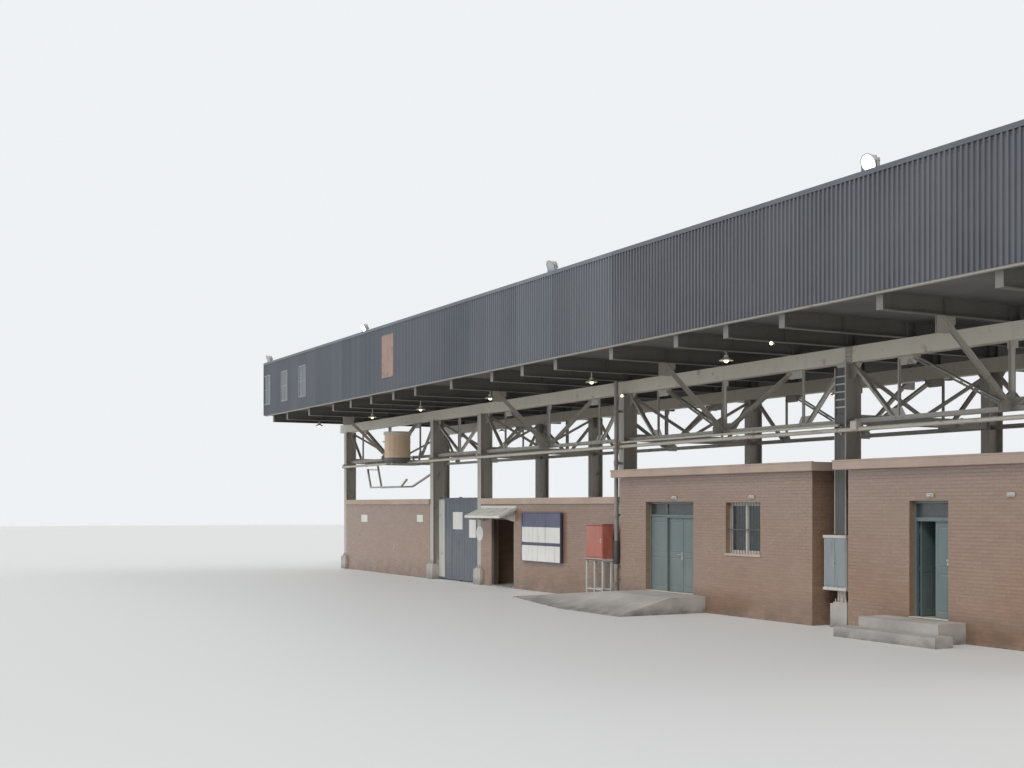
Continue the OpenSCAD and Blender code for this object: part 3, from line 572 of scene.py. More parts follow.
def ribbed_sheet(length, height):
    """Sheet in the XZ plane that faces -Y, with its low left corner at the origin."""
    sheet = begun(
        bpy.ops.mesh.primitive_plane_add, (RIB_PITCH, height, 1.0), size=1.0,
        location=(RIB_PITCH / 2, 0, height / 2), rotation=(QUARTER, 0, 0))
    cut([((edge * RIB_PITCH, 0, 0), (1, 0, 0)) for edge in RIB_EDGES], drop=False)
    select_faces(sheet, lambda face: RIB_EDGES[1] < face.center.x / RIB_PITCH < RIB_EDGES[2])
    bpy.ops.transform.translate(value=(0, -RIB_DEPTH, 0))
    leave_edit()
    arrayed(sheet, round(length / RIB_PITCH), (RIB_PITCH, 0, 0), merge=True)
    return sheet


def placed_sheet(sheet, turn, place, cuts):
    """Turns and places a sheet, cuts it back to planes and gives it its thickness."""
    sheet.rotation_euler = turn
    sheet.location = place
    apply_place()
    cut(cuts, fill=False)
    apply_modifier(sheet, "SOLIDIFY", thickness=SHEET_THICKNESS, offset=-1.0)
    return settle("cladding")


# %% [markdown]
# The long sides come first. The far bay has three windows, so its sheet is hung in pieces: a band
# below them, a band above them, and full pieces between. Every piece starts on the same row of
# ribs, so the ribs run through from band to band, as they do where one sheet laps another.

# %% Side sheets
side_low, side_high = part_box("side_cladding")
pane_low, pane_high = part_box("gallery_windows")
GALLERY_END = side_high.x
SHEET_TOP, SHEET_FOOT = side_high.z, side_low.z
SIDE_Y, SOLID_RIB = 5.4, 0.04
BASE_Y = -SIDE_Y - (SOLID_RIB - RIB_DEPTH)
WINDOW_WIDTH = 0.8
WINDOW_MIDDLES = (-19.2, -17.05, -14.95)


def front_sheet(left, right, foot, top):
    """A piece of the front side between two ribs, whose ends are cut true."""
    start = math.floor((left + GALLERY_END) / RIB_PITCH) * RIB_PITCH - GALLERY_END
    sheet = ribbed_sheet(right - start + RIB_PITCH, top - foot)
    return placed_sheet(sheet, (0, 0, 0), (start, BASE_Y, foot), [
        ((left, 0, 0), (-1, 0, 0)), ((right, 0, 0), (1, 0, 0))])


far_end = WINDOW_MIDDLES[-1] + WINDOW_WIDTH / 2
front_parts = [
    front_sheet(far_end, GALLERY_END, SHEET_FOOT, SHEET_TOP),
    front_sheet(-GALLERY_END, far_end, SHEET_FOOT, pane_low.z),
    front_sheet(-GALLERY_END, far_end, pane_high.z, SHEET_TOP)]
gap_start = -GALLERY_END
for middle in WINDOW_MIDDLES:
    front_parts.append(front_sheet(gap_start, middle - WINDOW_WIDTH / 2, pane_low.z, pane_high.z))
    gap_start = middle + WINDOW_WIDTH / 2
front_cladding = joined("front_cladding", front_parts)
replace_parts(front_cladding, "side_cladding", "window_cladding")
rear_cladding = named("rear_cladding", placed_sheet(
    ribbed_sheet(2 * GALLERY_END, SHEET_TOP - SHEET_FOOT), (0, 0, 2 * QUARTER),
    (GALLERY_END, -BASE_Y, SHEET_FOOT), [((-GALLERY_END, 0, 0), (-1, 0, 0))]))
print("front", len(front_cladding.data.polygons), "rear", len(rear_cladding.data.polygons), "faces")

# %% [markdown]
# The two ends are closed with the same sheet, cut to the slope of the roof by two bisect planes.
# The roof sheets lie with their ribs down the slope, where rain runs, and meet under a ridge cap.

# %% End sheets and roof
roof_low, roof_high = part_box("gallery_roof")
END_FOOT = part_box("end_cladding")[0].z
ROOF_THICKNESS = 0.04
ROOF_LAP = 0.02
HALF_WIDTH = roof_high.y
EAVES_Z = roof_low.z
RIDGE_Z = roof_high.z - ROOF_THICKNESS
SLOPE = math.atan2(RIDGE_Z - EAVES_Z, HALF_WIDTH)
slope_cuts = [((0, 0, RIDGE_Z), (0, side * math.sin(SLOPE), math.cos(SLOPE))) for side in (-1, 1)]
end_parts, roof_parts = [], []
for side in (-1, 1):
    end_parts.append(placed_sheet(
        ribbed_sheet(2 * HALF_WIDTH + RIB_PITCH, RIDGE_Z - END_FOOT), (0, 0, side * QUARTER),
        (side * (GALLERY_END - RIB_DEPTH), -side * HALF_WIDTH, END_FOOT),
        slope_cuts + [((0, side * HALF_WIDTH, 0), (0, side, 0))]))
    sheet = ribbed_sheet(2 * GALLERY_END, HALF_WIDTH / math.cos(SLOPE) + ROOF_LAP)
    turn = Matrix.Rotation(0 if side < 0 else 2 * QUARTER, 4, "Z") @ Matrix.Rotation(SLOPE - QUARTER, 4, "X")
    roof_parts.append(placed_sheet(
        sheet, turn.to_euler(),
        (side * GALLERY_END, side * (HALF_WIDTH + ROOF_LAP), EAVES_Z + ROOF_THICKNESS - RIB_DEPTH),
        [((-side * GALLERY_END, 0, 0), (-side, 0, 0)), ((0, 0, 0), (0, -side, 0))]))
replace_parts(joined("end_sheets", end_parts), "end_cladding")
roof_sheets = joined("roof_sheets", roof_parts)
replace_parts(roof_sheets, "gallery_roof")
print("roof slope", round(math.degrees(SLOPE), 2), "degrees,", len(roof_sheets.data.polygons), "faces")

# %% [markdown]
# Bent flashings finish the edges: a cap and a drip along the top of each long side, an angle down
# each corner and a folded cap along the ridge. Their sheet is thin and their bends are sharp, so
# each leaf is a long thin block, and a small bevel gives the bend its highlight.

# %% Flashings
CAP_OUT, CAP_IN = 5.4425, 5.36
DRIP_OUT, DRIP_IN = 5.4445, 5.441
CORNER_OUT, CORNER_IN = 5.4455, 5.4405
RIDGE_LEAF, RIDGE_SHEET = 0.26, 0.003
cap_parts = []
for side in (-1, 1):
    cap_parts.append(block(
        (-GALLERY_END, side * CAP_OUT, SHEET_TOP - 0.012), (GALLERY_END, side * CAP_IN, SHEET_TOP + 0.002),
        "cladding"))
    cap_parts.append(block(
        (-GALLERY_END, side * DRIP_OUT, SHEET_TOP - 0.09), (GALLERY_END, side * DRIP_IN, SHEET_TOP + 0.001),
        "cladding", edge=0.0005))
    for end in (-1, 1):
        cap_parts.append(block(
            (end * GALLERY_END, side * CORNER_OUT, SHEET_FOOT),
            (end * (GALLERY_END - 0.12), side * CORNER_IN, SHEET_TOP), "cladding", edge=0.0005))
    cap = begun(
        bpy.ops.mesh.primitive_cube_add, (2 * GALLERY_END, RIDGE_LEAF, RIDGE_SHEET), size=1.0,
        location=(0, side * RIDGE_LEAF / 2, 0))
    cap.rotation_euler = (-side * SLOPE, 0, 0)
    cap.location = (0, 0, RIDGE_Z + ROOF_THICKNESS - 0.004)
    apply_modifier(cap, "BEVEL", width=0.0008, segments=1)
    cap_parts.append(settle("cladding"))
joined("flashings", cap_parts)
print(len(cap_parts), "flashings")

# %% [markdown]
# The gallery windows have a pressed frame, one upright bar, one cross bar and dusty glass. The
# solids give each window as one thick block, so the bars and the pane are made apart here to get
# two finishes. The bars of a frame butt, as mitred or welded ones look from any distance.

# %% Gallery windows
FRAME_FACE, FRAME_BAR, THIN_BAR = -5.44, 0.045, 0.015
rim_low, rim_high = pane_low.z + FRAME_BAR, pane_high.z - FRAME_BAR
cross_z = (pane_low.z + pane_high.z) / 2
frame_parts, pane_parts = [], []
for middle in WINDOW_MIDDLES:
    left, right = middle - WINDOW_WIDTH / 2, middle + WINDOW_WIDTH / 2
    frame_parts += frame_bars(
        (left, pane_low.z), (right, pane_high.z), FRAME_FACE, -SIDE_Y, FRAME_BAR, "faded_frame", 0.004)
    frame_parts.append(block(
        (middle - THIN_BAR, FRAME_FACE + 0.006, rim_low), (middle + THIN_BAR, -SIDE_Y - 0.008, rim_high),
        "faded_frame", edge=0.004))
    frame_parts.append(block(
        (left + FRAME_BAR, FRAME_FACE + 0.009, cross_z - THIN_BAR),
        (right - FRAME_BAR, -SIDE_Y - 0.011, cross_z + THIN_BAR), "faded_frame", edge=0.004))
    pane_parts.append(block(
        (left + 0.02, -5.424, pane_low.z + 0.02), (right - 0.02, -5.418, pane_high.z - 0.02),
        "dusty_glass", edge=0.001))
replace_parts(joined("gallery_window_frames", frame_parts), "gallery_windows")
joined("gallery_window_panes", pane_parts)
print(len(frame_parts), "frame bars")

# %% [markdown]
# Lamps hang in a row on each side: a stem, an enamelled shade and a glass globe that glows. The
# shade is a cone without ends whose upper ring is extruded into a neck, and a Solidify modifier
# gives it its sheet. Glowing glass is an emission on the globe alone, so it lights nothing far.

# %% Hanging lamps
LAMP_X = (-17.1, -11.6, -7.45, -2.5, 3.1, 8.6)
UNDER_BEAM = (-17.1, 8.6)
LAMP_Y, GLOBE_Z = -4.0, 5.61
SHADE_FOOT, SHADE_TOP = GLOBE_Z + 0.045, GLOBE_Z + 0.105
FLOOR_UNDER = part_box("gallery_floor")[0].z
CHORD_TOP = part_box("top_chords")[1].z


def select_ring(piece, height, near=0.002):
    """Opens the piece in edit mode with only the points chosen that lie at one height."""
    enter_edit()
    bpy.ops.mesh.select_mode(type="VERT")
    bpy.ops.mesh.select_all(action="DESELECT")
    leave_edit()
    for point in piece.data.vertices:
        point.select = abs(point.co.z - height) < near
    enter_edit()


shade = begun(
    bpy.ops.mesh.primitive_cone_add, vertices=32, radius1=0.15, radius2=0.05, depth=SHADE_TOP - SHADE_FOOT,
    end_fill_type="NOTHING", location=(LAMP_X[0], LAMP_Y, (SHADE_FOOT + SHADE_TOP) / 2))
for ring, rise in ((SHADE_TOP, 0.04), (SHADE_FOOT, -0.012)):
    select_ring(shade, ring)
    bpy.ops.mesh.extrude_region_move(TRANSFORM_OT_translate={"value": (0, 0, rise)})
    leave_edit()
apply_modifier(shade, "SOLIDIFY", thickness=0.002, offset=-1.0)
bpy.ops.object.shade_smooth_by_angle(angle=math.radians(40))
shade = settle("lamp_cream")
stem_row = joined("stem_row", [
    rod((x, LAMP_Y, GLOBE_Z + 0.13), (x, LAMP_Y, CHORD_TOP if x in UNDER_BEAM else FLOOR_UNDER), 0.014,
        "lamp_cream") for x in LAMP_X])
socket = rod((LAMP_X[0], LAMP_Y, GLOBE_Z + 0.05), (LAMP_X[0], LAMP_Y, GLOBE_Z + 0.15), 0.03, "lamp_cream")
lamp = joined("lamp", [shade, socket])
globe = begun(
    bpy.ops.mesh.primitive_uv_sphere_add, segments=24, ring_count=16, radius=0.052,
    location=(LAMP_X[0], LAMP_Y, GLOBE_Z + 0.04))
select_ring(globe, GLOBE_Z + 0.088, near=0.006)
bpy.ops.mesh.delete(type="VERT")
leave_edit()
bpy.ops.object.shade_smooth()
globe_row = repeated("globe_row", settle("warm_glow"), steps(LAMP_X))
lamp_row = joined("lamp_row", [repeated("lamp_heads", lamp, steps(LAMP_X)), stem_row])
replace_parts(on_both_sides("hanging_lamps", lamp_row), "lamps")
on_both_sides("lamp_globes", globe_row)
print(2 * len(LAMP_X), "lamps")

# %% [markdown]
# The lamps high on the tall rooms' fronts are small bulkheads: a back box with a lens whose front
# face is inset and pulled forward. Two of them light the doors and one the window.

# %% Wall lamps
WALL_LAMP_X = (4.66, 7.67, 13.01, 14.9)
WALL_LAMP_Z = 2.74
WALL_FACE = -2.56
first_x = WALL_LAMP_X[0]
back_box = block(
    (first_x - 0.08, WALL_FACE - 0.04, WALL_LAMP_Z - 0.04), (first_x + 0.08, WALL_FACE, WALL_LAMP_Z + 0.04),
    "lamp_cream", edge=0.006)
lens = pulled_face(block(
    (first_x - 0.06, WALL_FACE - 0.065, WALL_LAMP_Z - 0.03),
    (first_x + 0.06, WALL_FACE - 0.038, WALL_LAMP_Z + 0.02), "pale_glass", edge=0.004), 0.012, 0.014)
repeated("wall_lamp_boxes", back_box, steps(WALL_LAMP_X))
repeated("wall_lamp_lenses", lens, steps(WALL_LAMP_X))
print(len(WALL_LAMP_X), "wall lamps")

# %% [markdown]
# Floodlights stand on the front edge of the roof, each in a yoke on a short post. The head is a
# drum with a rim and cooling fins, turned down towards the ground; two of the four are lit. One is
# made about its own foot, and its head about the head's own middle, so that both can be tilted and
# placed by a matrix.

# %% Floodlights
FLOOD_X = (-19.4, -9.11, 3.34, 14.27)
FLOOD_LIT = (-9.11, 14.27)
FLOOD_Y, FLOOD_FOOT = -5.27, 8.128
POST_UP, HEAD_UP = 0.06, 0.28
YOKE_HALF, YOKE_BAR, YOKE_TOP = 0.2, 0.01, 0.32
FINS, FIN_PITCH = 5, 0.04
flood_place = Matrix.Translation((FLOOD_X[0], FLOOD_Y, FLOOD_FOOT))
head_place = Matrix.Translation((0, 0, HEAD_UP)) @ Matrix.Rotation(math.radians(115), 4, "X")
yoke_inner = YOKE_HALF - YOKE_BAR
flood_parts = [
    block((-0.03, -0.03, -0.01), (0.03, 0.03, POST_UP), "lamp_grey"),
    block((-0.09, -0.07, -0.012), (0.09, 0.07, 0.0), "lamp_grey"),
    block((-yoke_inner, -0.03, POST_UP), (yoke_inner, 0.03, POST_UP + YOKE_BAR), "lamp_grey")]
for side in (-1, 1):
    flood_parts.append(block(
        (side * YOKE_HALF, -0.03, POST_UP), (side * yoke_inner, 0.03, YOKE_TOP), "lamp_grey"))
    flood_parts.append(rod((side * 0.13, 0, HEAD_UP), (side * 0.215, 0, HEAD_UP), 0.016, "lamp_grey"))
drum = begun(bpy.ops.mesh.primitive_cylinder_add, vertices=32, radius=0.12, depth=0.1, location=(0, 0, -0.01))
pulled_face(drum, 0.0001, 0.0, Vector((0, 0, 1)))
enter_edit()
bpy.ops.transform.resize(value=(1.42, 1.42, 1.0))
bpy.ops.mesh.extrude_region_move(TRANSFORM_OT_translate={"value": (0, 0, 0.02)})
bpy.ops.mesh.inset(thickness=0.014)
bpy.ops.mesh.extrude_region_move(TRANSFORM_OT_translate={"value": (0, 0, -0.012)})
leave_edit()
flood_parts.append(put(settle("lamp_grey"), head_place))
for fin in range(FINS):
    x = (fin - (FINS - 1) / 2) * FIN_PITCH
    flood_parts.append(put(
        block((x - 0.003, -0.085, -0.1), (x + 0.003, 0.085, -0.055), "lamp_grey", edge=0.001), head_place))
flood = put(joined("flood", flood_parts), flood_place)
glass = begun(
    bpy.ops.mesh.primitive_cylinder_add, vertices=32, radius=0.15, depth=0.006, location=(0, 0, 0.055))
apply_modifier(glass, "BEVEL", width=0.002, segments=1)
glass = named("flood_glass", put(settle("pale_glass"), flood_place @ head_place))
for number, (x, step) in enumerate(zip(FLOOD_X[1:], steps(FLOOD_X)), 1):
    more = named(f"flood_glass_{number}", moved_copy(glass, Matrix.Translation(step)))
    if x in FLOOD_LIT:
        more.data.materials[0] = finish["cool_glow"]
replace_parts(repeated("floodlight_heads", flood, steps(FLOOD_X)), "floodlights")
print(len(FLOOD_X), "floodlights,", len(FLOOD_LIT), "lit")

# %% [markdown]
# The walls are faced with glazed strip tiles in running bond, over flat solids. One tile is a plane
# whose face is inset and pulled forward, which gives the rounded edge of a pressed tile. Two rows of
# it are the unit of the bond, and two arrays lay it over a wall. The tile finish holds the same bond
# in a Brick Texture, so the tone changes from tile to tile and not across one.

# %% Wall tiles
TILE_JOINT = 0.006
TILE_EDGE, TILE_OUT = 0.004, 0.003
PAIR_PITCH = 2 * ROW_PITCH
FACING = {
    "front": Matrix.Identity(4),
    "rear": TO_REAR,
    "right": Matrix(((0, -1, 0, 0), (1, 0, 0, 0), (0, 0, 1, 0), (0, 0, 0, 1))),
    "left": Matrix(((0, 1, 0, 0), (1, 0, 0, 0), (0, 0, 1, 0), (0, 0, 0, 1))),
}


def tile_pair():
    """A tile of an odd row, and the one below it that is half a tile further left."""
    size = (TILE_PITCH - TILE_JOINT, ROW_PITCH - TILE_JOINT, 1.0)
    tiles = []
    for across, up in ((TILE_PITCH / 2, ROW_PITCH * 1.5), (0.0, ROW_PITCH / 2)):
        tile = begun(
            bpy.ops.mesh.primitive_plane_add, size, size=1.0, location=(across, 0, up),
            rotation=(QUARTER, 0, 0))
        tiles.append(pulled_face(tile, TILE_EDGE, TILE_OUT))
    return joined("tile_pair", tiles)


def tiled(across, up, wall, facing):
    """Tiles over an upright rectangle, given by its span along the wall and its span in height."""
    first = math.floor(across[0] / TILE_PITCH) * TILE_PITCH
    lowest = math.floor(up[0] / PAIR_PITCH) * PAIR_PITCH
    tiles = put(tile_pair(), Matrix.Translation((first, 0, lowest)))
    arrayed(tiles, math.ceil((across[1] - first) / TILE_PITCH) + 1, (TILE_PITCH, 0, 0))
    arrayed(tiles, math.ceil((up[1] - lowest) / PAIR_PITCH) + 1, (0, 0, PAIR_PITCH))
    cut([((across[0], 0, 0), (-1, 0, 0)), ((across[1], 0, 0), (1, 0, 0)),
         ((0, 0, up[0]), (0, 0, -1)), ((0, 0, up[1]), (0, 0, 1))], fill=False)
    offset = (0, wall, 0) if facing in ("front", "rear") else (wall, 0, 0)
    put(tiles, Matrix.Translation(offset) @ FACING[facing])
    return settle("tile")


# Each room has its left and right end, half its depth, the top of its walls and its openings.
DOOR_A, DOOR_B, LOW_DOOR = (12.46, 13.44), (3.39, 5.43), (-5.72, -4.22)
DOORWAY_TOP, LOW_DOOR_TOP = 2.64, 2.15
WINDOW_X, WINDOW_Z = (6.7, 7.95), (1.44, 2.62)
TALL_ROOM, LOW_ROOM = (2.56, 3.285), (2.31, 2.6)
ROOMS = {
    "a": (10.77, 18.45, *TALL_ROOM, [(*DOOR_A, 0.0, DOORWAY_TOP)]),
    "b": (2.2, 9.68, *TALL_ROOM, [(*DOOR_B, 0.0, DOORWAY_TOP), (*WINDOW_X, *WINDOW_Z)]),
    "c": (-6.475, 1.725, *LOW_ROOM, [(*LOW_DOOR, 0.0, LOW_DOOR_TOP)]),
    "e": (-18.625, -10.425, *LOW_ROOM, []),
}
for room, (left, right, half, top, holes) in ROOMS.items():
    sheets, start = [], left
    for low_x, high_x, low_z, high_z in holes + [(right, right, 0.0, top)]:
        sheets.append(tiled((start, low_x), (0.0, top), -half, "front"))
        for band in ((0.0, low_z), (high_z, top)):
            if high_x > low_x and band[1] > band[0]:
                sheets.append(tiled((low_x, high_x), band, -half, "front"))
        start = high_x
    sheets.append(tiled((left, right), (0.0, top), half, "rear"))
    for facing, wall in (("left", left), ("right", right)):
        sheets.append(tiled((-half, half), (0.0, top), wall, facing))
    tiles = joined(f"tiles_room_{room}", sheets)
    print("room", room, len(tiles.data.polygons), "faces of tile")

# %% [markdown]
# The doors are sheet steel: each leaf has two panels pressed into both faces. A cube is cut by
# bisecting it along the edges of the panels, whose faces are inset and pushed in, then inset again
# and drawn out, as a press does it. Each leaf is made once at the origin, against its hinge line,
# and its matrix puts it where its hinge is, so it turns with its own body.

# %% Door leaves
LEAF_T, LEAF_H, LEAF_GAP = 0.045, 1.846, 0.006
PIN_Y, LEAF_Z = -2.34, 0.412
PANEL_MARGIN = 0.06
PANEL_BANDS = ((0.06, 0.46), (0.52, 0.94))
HINGE_UP, HINGE_HALF = (0.2, 0.92, 1.64), 0.05
LEVER_OUT, LEVER_LENGTH, LEVER_RADIUS = 0.042, 0.115, 0.009
FINE_EDGE = 0.0015


def pressed_leaf(width, height, body=BODY):
    """A leaf along +X, in front of its hinge line, with two pressed panels on each face."""
    leaf = begun(
        bpy.ops.mesh.primitive_cube_add, (width, LEAF_T, height), size=1.0,
        location=(width / 2, -LEAF_T / 2, height / 2))
    sides = [((x, 0, 0), (1, 0, 0)) for x in (PANEL_MARGIN, width - PANEL_MARGIN)]
    ends = [((0, 0, share * height), (0, 0, 1)) for band in PANEL_BANDS for share in band]
    cut(sides + ends, drop=False)

    def in_panel(face):
        middle = face.center
        return abs(face.normal.y) > 0.9 and PANEL_MARGIN < middle.x < width - PANEL_MARGIN and any(
            low * height < middle.z < high * height for low, high in PANEL_BANDS)

    select_faces(leaf, in_panel)
    for inset, push in ((0.012, -0.007), (0.03, 0.004)):
        bpy.ops.mesh.inset(thickness=inset)
        bpy.ops.transform.shrink_fatten(value=push)
    leave_edit()
    apply_modifier(leaf, "BEVEL", width=FINE_EDGE, segments=1)
    return settle("door_teal", body)


def hung_leaf(body, width, place):
    """A leaf with its three hinges, put on its body."""
    parts = [put(pressed_leaf(width, LEAF_H, body), Matrix.Translation((LEAF_GAP, 0, 0)))]
    for height in HINGE_UP:
        foot, top = height - HINGE_HALF, height + HINGE_HALF
        parts.append(rod((0, 0, foot), (0, 0, top), 0.006, "door_teal", body, sides=12))
        parts.append(block((0.0, -0.001, foot), (0.045, 0.002, top), "door_teal", body, 0.0008))
    return put(joined(f"{body}_leaf", parts), place)


def at_pin(x):
    """Moves a leaf from the origin to its hinge line."""
    return Matrix.Translation((x, PIN_Y, LEAF_Z))


LEAVES = {
    "door_a_main": (0.427, at_pin(12.51) @ Matrix.Rotation(QUARTER, 4, "Z")),
    "door_a_side": (0.427, at_pin(13.39) @ MIRROR_X),
    "door_b_left": (0.5995, at_pin(4.155)),
    "door_b_right": (0.5995, at_pin(5.38) @ MIRROR_X),
}
for node_name, (width, place) in LEAVES.items():
    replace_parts(hung_leaf(node_name, width, place), node_name)


def lever_handle(name, body, outward):
    """A back plate, spindle and lever on one face of a leaf; outward is -1 for its front face."""
    width, place = LEAVES[body]
    face = -LEAF_T if outward < 0 else 0.0
    out = face + outward * LEVER_OUT
    x, z = width - 0.04, LEAF_H / 2
    parts = [
        block((x - 0.022, face, z - 0.13), (x + 0.022, face + outward * 0.004, z + 0.06),
              "galvanised", body, 0.001),
        rod((x, face, z), (x, out, z), LEVER_RADIUS, "galvanised", body),
        rod((x + 0.005, out, z), (x - LEVER_LENGTH, out, z), LEVER_RADIUS, "galvanised", body)]
    put(joined(name, parts), place)


lever_handle("handle_b_front", "door_b_left", -1)
lever_handle("handle_b_back", "door_b_left", 1)
lever_handle("handle_a_back", "door_a_main", 1)
hasp_parts = [
    block((0.06, -LEAF_T - 0.006, 1.08), (0.16, -LEAF_T, 1.12), "galvanised", "door_a_side", 0.002),
    block((0.075, -LEAF_T - 0.03, 1.0), (0.125, -LEAF_T - 0.008, 1.06), "galvanised", "door_a_side", 0.005)]
put(joined("hasp_and_lock", hasp_parts), LEAVES["door_a_side"][1])
print(len(LEAVES), "leaves")

# %% [markdown]
# The frames are folded steel: posts, a head, a transom bar with dark glass over it, and stops that
# the leaves close against. The stops end short of the hinge line, and leave the leaf its depth. The
# wider frame has a mullion too, with a fixed panel beside it that is pressed as the leaves are.

# %% Door frames
FRAME_FRONT, FRAME_BACK, STOP_BACK = -2.44, -2.34, -2.395
FLOOR_Z, TRANSOM_Z = 0.4, 2.27
POST_WIDTH, STOP_WIDTH, RAIL_HEIGHT = 0.042, 0.018, 0.05
MULLION_X = 4.105
LOW_POST, LOW_FOOT = 0.05, 0.04


def door_bar(low_x, high_x, low_z, high_z, back=FRAME_BACK, edge=0.003):
    return block((low_x, FRAME_FRONT, low_z), (high_x, back, high_z), "door_teal", edge=edge)


frame_parts, glass_parts = [], []
for (left, right), mullion in ((DOOR_A, None), (DOOR_B, MULLION_X)):
    hung = (mullion or left) + POST_WIDTH
    inner, outer = left + POST_WIDTH, right - POST_WIDTH
    frame_parts += [
        door_bar(left, inner, FLOOR_Z, DOORWAY_TOP), door_bar(outer, right, FLOOR_Z, DOORWAY_TOP),
        door_bar(hung, hung + STOP_WIDTH, FLOOR_Z, TRANSOM_Z, STOP_BACK, 0.002),
        door_bar(outer - STOP_WIDTH, outer, FLOOR_Z, TRANSOM_Z, STOP_BACK, 0.002),
        door_bar(hung + STOP_WIDTH, outer - STOP_WIDTH, TRANSOM_Z - 0.025, TRANSOM_Z, STOP_BACK, 0.002),
        door_bar(inner, outer, TRANSOM_Z, TRANSOM_Z + RAIL_HEIGHT),
        door_bar(inner, outer, DOORWAY_TOP - RAIL_HEIGHT, DOORWAY_TOP)]
    if mullion:
        frame_parts.append(door_bar(mullion, hung, FLOOR_Z, TRANSOM_Z))
        frame_parts.append(block(
            (mullion + 0.007, FRAME_FRONT + 0.02, TRANSOM_Z + RAIL_HEIGHT),
            (hung - 0.007, FRAME_BACK - 0.02, DOORWAY_TOP - RAIL_HEIGHT), "door_teal", edge=0.002))
    glass_parts.append(block(
        (left + 0.03, -2.393, TRANSOM_Z + 0.04), (right - 0.03, -2.387, DOORWAY_TOP - 0.04),
        "dark_glass", edge=0.001))
low_left, low_right = LOW_DOOR
low_spans = (
    (low_left, low_left + LOW_POST, LOW_FOOT), (low_right - LOW_POST, low_right, LOW_FOOT),
    (low_left + LOW_POST, low_right - LOW_POST, LOW_DOOR_TOP - LOW_POST))
joined("low_door_frame", [
    block((x0, -2.25, z0), (x1, -2.15, LOW_DOOR_TOP), "dark_steel") for x0, x1, z0 in low_spans])
frame_parts.append(put(pressed_leaf(0.661, 1.866), Matrix.Translation((3.438, -2.37, 0.402))))
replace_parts(joined("door_frames_dressed", frame_parts), "door_frames")
joined("transom_glass", glass_parts)
joined("door_trim", [
    block((left, -2.58, 0.398), (right, -2.42, 0.411), "pale_steel") for left, right in (DOOR_A, DOOR_B)])
print(len(frame_parts), "frame parts")

# %% [markdown]
# The room window has a steel frame with two casements, dark glass, and round bars outside it. Its
# sill is a precast slab that reaches past the tiles, so that water drips clear of them.

# %% Room window
(PANE_LEFT, PANE_RIGHT), (PANE_FOOT, PANE_TOP) = WINDOW_X, WINDOW_Z
PANE_Y = -2.44
POST, HALF_MULLION, CASEMENT = 0.05, 0.03, 0.03
BARS, BAR_RADIUS, BAR_Y = 11, 0.007, PANE_Y - 0.05
middle = (PANE_LEFT + PANE_RIGHT) / 2
upright_spans = (
    (PANE_LEFT, PANE_LEFT + POST, 0.0), (PANE_RIGHT - POST, PANE_RIGHT, 0.0),
    (middle - HALF_MULLION, middle + HALF_MULLION, 0.008))
window_parts = [
    block((x0, PANE_Y - out, PANE_FOOT), (x1, PANE_Y + 0.06, PANE_TOP), "window_frame")
    for x0, x1, out in upright_spans]
window_parts += [
    block((PANE_LEFT + POST, PANE_Y, z), (PANE_RIGHT - POST, PANE_Y + 0.058, z + POST), "window_frame")
    for z in (PANE_FOOT, PANE_TOP - POST)]
for left, right in ((PANE_LEFT + POST, middle - HALF_MULLION), (middle + HALF_MULLION, PANE_RIGHT - POST)):
    window_parts += frame_bars(
        (left, PANE_FOOT + POST), (right, PANE_TOP - POST), PANE_Y + 0.012, PANE_Y + 0.048, CASEMENT,
        "window_frame", 0.002)
    window_parts.append(block(
        (left + CASEMENT, PANE_Y + 0.012, 1.985), (right - CASEMENT, PANE_Y + 0.048, 2.005),
        "window_frame", edge=0.002))
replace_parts(joined("room_window_frame", window_parts), "room_window")
named("room_window_panes", block(
    (PANE_LEFT + 0.06, PANE_Y + 0.027, PANE_FOOT + 0.06),
    (PANE_RIGHT - 0.06, PANE_Y + 0.033, PANE_TOP - 0.06), "dark_glass", edge=0.001))
bar_step = (PANE_RIGHT - PANE_LEFT) / (BARS + 1)
first_bar = rod(
    (PANE_LEFT + bar_step, BAR_Y, PANE_FOOT), (PANE_LEFT + bar_step, BAR_Y, PANE_TOP), BAR_RADIUS,
    "dark_steel", sides=10)
upright_bars = repeated("upright_bars", first_bar, [(number * bar_step, 0, 0) for number in range(1, BARS)])
cross_bar = block(
    (PANE_LEFT, BAR_Y - 0.008, 1.98), (PANE_RIGHT, BAR_Y + 0.008, 2.005), "dark_steel", edge=0.002)
joined("window_bars", [upright_bars, cross_bar])
named("window_sill", block(
    (PANE_LEFT - 0.02, -2.59, PANE_FOOT - 0.05), (PANE_RIGHT + 0.02, PANE_Y, PANE_FOOT + 0.004),
    "slab_pink", edge=0.006))
print(BARS, "window bars")

# %% [markdown]
# The open web of the trestle takes the most skill in this object. Real trusses of this kind are
# made of rolled angles set back to back on gusset plates and bolted through. An angle is begun as a
# thin bar; bisecting it along its fold and extruding the strip gives the second leg, and a Mirror
# modifier gives its twin. Members are drawn in the truss's own plane, between two points.

# %% Helpers for steelwork
GUSSET_T, ANGLE_T = 0.012, 0.008
GUSSET_HALF = GUSSET_T / 2


